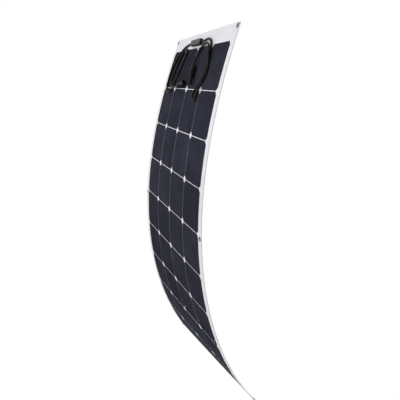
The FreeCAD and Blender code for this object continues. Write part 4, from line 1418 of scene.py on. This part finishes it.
@dataclass
class Studio:
    """Camera, soft lamps, pale floor and white surroundings; in metres, with the lens in millimetres."""

    lens: float = 38.13
    sensor: float = 36.0
    stand: Point = (1.249, -0.396, 0.486)
    forward: Point = (-0.887, 0.359, -0.289)
    upward: Point = (-0.262, 0.124, 0.957)
    floor_gap: float = 0.06
    floor_half: float = 6.0
    floor_steps: int = 24
    surround: float = 0.5

    def camera(self, sheet: BentSheet) -> None:
        """Set up the camera, which stands off the middle of the sheet.

        Args:
            sheet: The sheet it looks at.
        """
        middle = sheet.spot((sheet.rows + 1) // 2, 0.0, sheet.rows * sheet.pitch / 2).translation
        back = -Vector(self.forward).normalized()
        right = Vector(self.upward).cross(back).normalized()
        up = back.cross(right)
        data = bpy.data.cameras.new("camera")
        data.lens = self.lens
        data.sensor_width = self.sensor
        data.clip_end = 50.0
        camera = new_object("camera", data)
        camera.matrix_world = Matrix.Translation(middle + Vector(self.stand)) @ Matrix(
            (right, up, back)).transposed().to_4x4()
        bpy.context.scene.camera = camera

    def lamp(self, name: str, at: Point, aim: Point, size: float, power: float) -> None:
        """Add one soft square lamp.

        Args:
            name: Name of the lamp.
            at: Where it hangs.
            aim: The point that it faces.
            size: Length of its sides.
            power: Its power in watts.
        """
        data = bpy.data.lights.new(name, "AREA")
        data.shape = "SQUARE"
        data.size = size
        data.energy = power
        light = new_object(name, data)
        light.location = at
        light.rotation_euler = (Vector(aim) - Vector(at)).to_track_quat("-Z", "Y").to_euler()

    @staticmethod
    def shows_surroundings(tree: bpy.types.NodeTree) -> bpy.types.NodeSocket:
        """Find the rays that show the surroundings themselves: camera, glossy and transmission rays.

        Args:
            tree: The node tree that asks.

        Returns:
            Socket that is 1 for those rays and 0 for others.
        """
        path = add_node(tree, "ShaderNodeLightPath")
        seen = add_node(tree, "ShaderNodeMath", {"operation": "MAXIMUM"},
                        {0: path.outputs["Is Camera Ray"], 1: path.outputs["Is Glossy Ray"]})
        both = add_node(tree, "ShaderNodeMath", {"operation": "MAXIMUM"},
                        {0: seen.outputs["Value"], 1: path.outputs["Is Transmission Ray"]})
        return both.outputs["Value"]

    def world(self) -> None:
        """Make the surroundings white where they are seen and plain grey where they light."""
        world = bpy.data.worlds.new("studio")
        bpy.context.scene.world = world
        tree = empty_tree(world)
        strength = add_node(tree, "ShaderNodeMapRange", {"To Min": self.surround, "To Max": 1.0},
                            {"Value": self.shows_surroundings(tree)})
        shade = add_node(tree, "ShaderNodeBackground", {"Color": linear("#ffffff")},
                         {"Strength": strength.outputs["Result"]})
        add_node(tree, "ShaderNodeOutputWorld", None, {"Surface": shade.outputs["Background"]})

    def floor(self, low: float) -> None:
        """Make the pale floor below the hanging sheet, with a faint mottle.

        Args:
            low: Height of the part's lowest point.
        """
        count = self.floor_steps + 1
        ticks = np.linspace(-self.floor_half, self.floor_half, count)
        verts = [(x, y, low - self.floor_gap) for y in ticks for x in ticks]
        faces = [face[::-1] for face in grid_faces(count, count)]
        material = bpy.data.materials.new("pale_studio_floor")
        tree = empty_tree(material)
        where = add_node(tree, "ShaderNodeTexCoord").outputs["Object"]
        mottle = add_node(tree, "ShaderNodeTexNoise", {"Scale": 3.0}, {"Vector": where})
        colour = add_node(tree, "ShaderNodeMix",
                          {"data_type": "RGBA", 6: linear("#fbfbfb"), 7: linear("#f7f7f8")},
                          {0: mottle.outputs["Fac"]})
        matt = add_node(tree, "ShaderNodeBsdfDiffuse", None, {"Color": colour.outputs[2]})
        glow = add_node(tree, "ShaderNodeEmission", {"Color": linear("#ffffff"), "Strength": 1.0})
        mix = add_node(tree, "ShaderNodeMixShader", None,
                       {0: self.shows_surroundings(tree), 1: matt.outputs["BSDF"], 2: glow.outputs[0]})
        add_node(tree, "ShaderNodeOutputMaterial", None, {"Surface": mix.outputs["Shader"]})
        mesh_piece("pale_floor", verts, faces, [material])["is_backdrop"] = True

    def lights(self) -> None:
        """Hang three soft lamps at a plain level."""
        self.lamp("key_lamp", (1.6, -2.6, 1.2), (0.0, 0.0, -0.5), size=1.8, power=48.0)
        self.lamp("fill_lamp", (-2.6, -1.8, 0.2), (0.0, 0.0, -0.5), size=2.0, power=24.0)
        self.lamp("back_lamp", (0.6, 2.6, 0.8), (0.0, 0.1, -0.6), size=2.0, power=30.0)


# ---------------------------------------------------------------- the whole part

# Row that carries each pair of eyelets, and span whose skin it goes through.
EYELET_ROWS = {"top": 1, "middle": 5, "bottom": 9}
EYELET_SPANS = {1: "top", 4: "middle", 8: "bottom"}
# Half the length of the drill, and radius of the holes, in millimetres.
DRILL_REACH, HOLE_RADIUS = 8.0, 5.65


def eyelet_places(sheet: BentSheet, tag: str) -> list[Matrix]:
    """Work out where a pair of eyelets goes.

    Args:
        sheet: The sheet.
        tag: Name of the pair.

    Returns:
        Frames on the front of the sheet: left, then right.
    """
    downs = {"top": -sheet.top_reach,
             "middle": (EYELET_ROWS["middle"] - 1) * sheet.pitch + sheet.eyelet_drop,
             "bottom": sheet.rows * sheet.pitch + sheet.bottom_margin - sheet.eyelet_inset}
    edge = sheet.half_width - sheet.eyelet_inset
    return [sheet.spot(EYELET_ROWS[tag], side * edge, downs[tag]) for side in (-1, 1)]


def bore_holes(skin: bpy.types.Object, sheet: BentSheet, tag: str) -> None:
    """Cut the two holes of a pair of eyelets through the laminate of its span.

    Args:
        skin: The laminate.
        sheet: The sheet.
        tag: Name of the pair.
    """
    for place in eyelet_places(sheet, tag):
        profile = [(-DRILL_REACH, HOLE_RADIUS), (DRILL_REACH, HOLE_RADIUS)]
        drill = turned_piece("drill", profile, BOARD_EDGE, place @ Matrix.Rotation(math.pi / 2, 4, "Z"),
                             segments=40)
        cut = skin.modifiers.new("hole", "BOOLEAN")
        cut.operation = "DIFFERENCE"
        cut.solver = "EXACT"
        cut.object = drill
        bpy.context.view_layer.update()
        graph = bpy.context.evaluated_depsgraph_get()
        holed = bpy.data.meshes.new_from_object(skin.evaluated_get(graph))
        skin.modifiers.clear()
        skin.data = holed
        skin.data.set_sharp_from_angle(angle=math.radians(SHARP_SHEET))
        bpy.data.objects.remove(drill)


def build_sheet(sheet: BentSheet) -> None:
    """Build the eight spans of laminate, cells and tabs.

    Args:
        sheet: The sheet.
    """
    for number in range(1, sheet.rows):
        span = Span(sheet, number)
        skin = span.build_skin()
        if number in EYELET_SPANS:
            bore_holes(skin, sheet, EYELET_SPANS[number])
        span.fit_to_frame(skin, ["board", "front_film"])
        span.fit_to_frame(span.build_cells(), ["cells"])
        span.fit_to_frame(span.build_tabs(), ["tabs"])


def build_eyelets(sheet: BentSheet) -> None:
    """Build the six eyelets.

    Args:
        sheet: The sheet.
    """
    for tag, row in EYELET_ROWS.items():
        for name, place in zip(("left", "right"), eyelet_places(sheet, tag)):
            for piece in Eyelet().build(f"{tag}_{name}", place, sheet.thick):
                put_on(piece, f"row_{row}", f"eyelets_{tag}")


def dress_nodes(frame: dict) -> None:
    """Give the CAD pieces that stay their own finishes.

    Args:
        frame: The loaded frame.
    """
    finishes = {"bus_ribbons_top": TINNED, "bus_ribbons_bottom": TINNED,
                "junction_terminals": CONTACT, "junction_diodes": EPOXY}
    for node, finish in finishes.items():
        for slot in frame["nodes"][node].material_slots:
            slot.material = finish.build()
        log.info("%s dressed", node)


def main() -> None:
    """Build the part, dress it and measure it."""
    logging.basicConfig(level=logging.INFO, format="%(message)s")
    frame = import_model()
    cad_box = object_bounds()
    sheet = BentSheet()
    box = JunctionBox()
    studio = Studio()
    studio.camera(sheet)
    plug = Connector(Mate.PLUG, across=38.0, down=57.0, heading=80.0)
    socket = Connector(Mate.SOCKET, across=-74.0, down=120.0, heading=-10.0)
    Lead("right", side=1, route=RIGHT_ROUTE, length=0.586).build(sheet, box, plug)
    Lead("left", side=-1, route=LEFT_ROUTE, length=0.692).build(sheet, box, socket)
    box.build(sheet)
    build_sheet(sheet)
    build_eyelets(sheet)
    dress_nodes(frame)
    studio.floor(cad_box[0][2])
    studio.world()
    studio.lights()
    bpy.context.scene.view_settings.view_transform = "Standard"


if __name__ == "__main__":
    main()
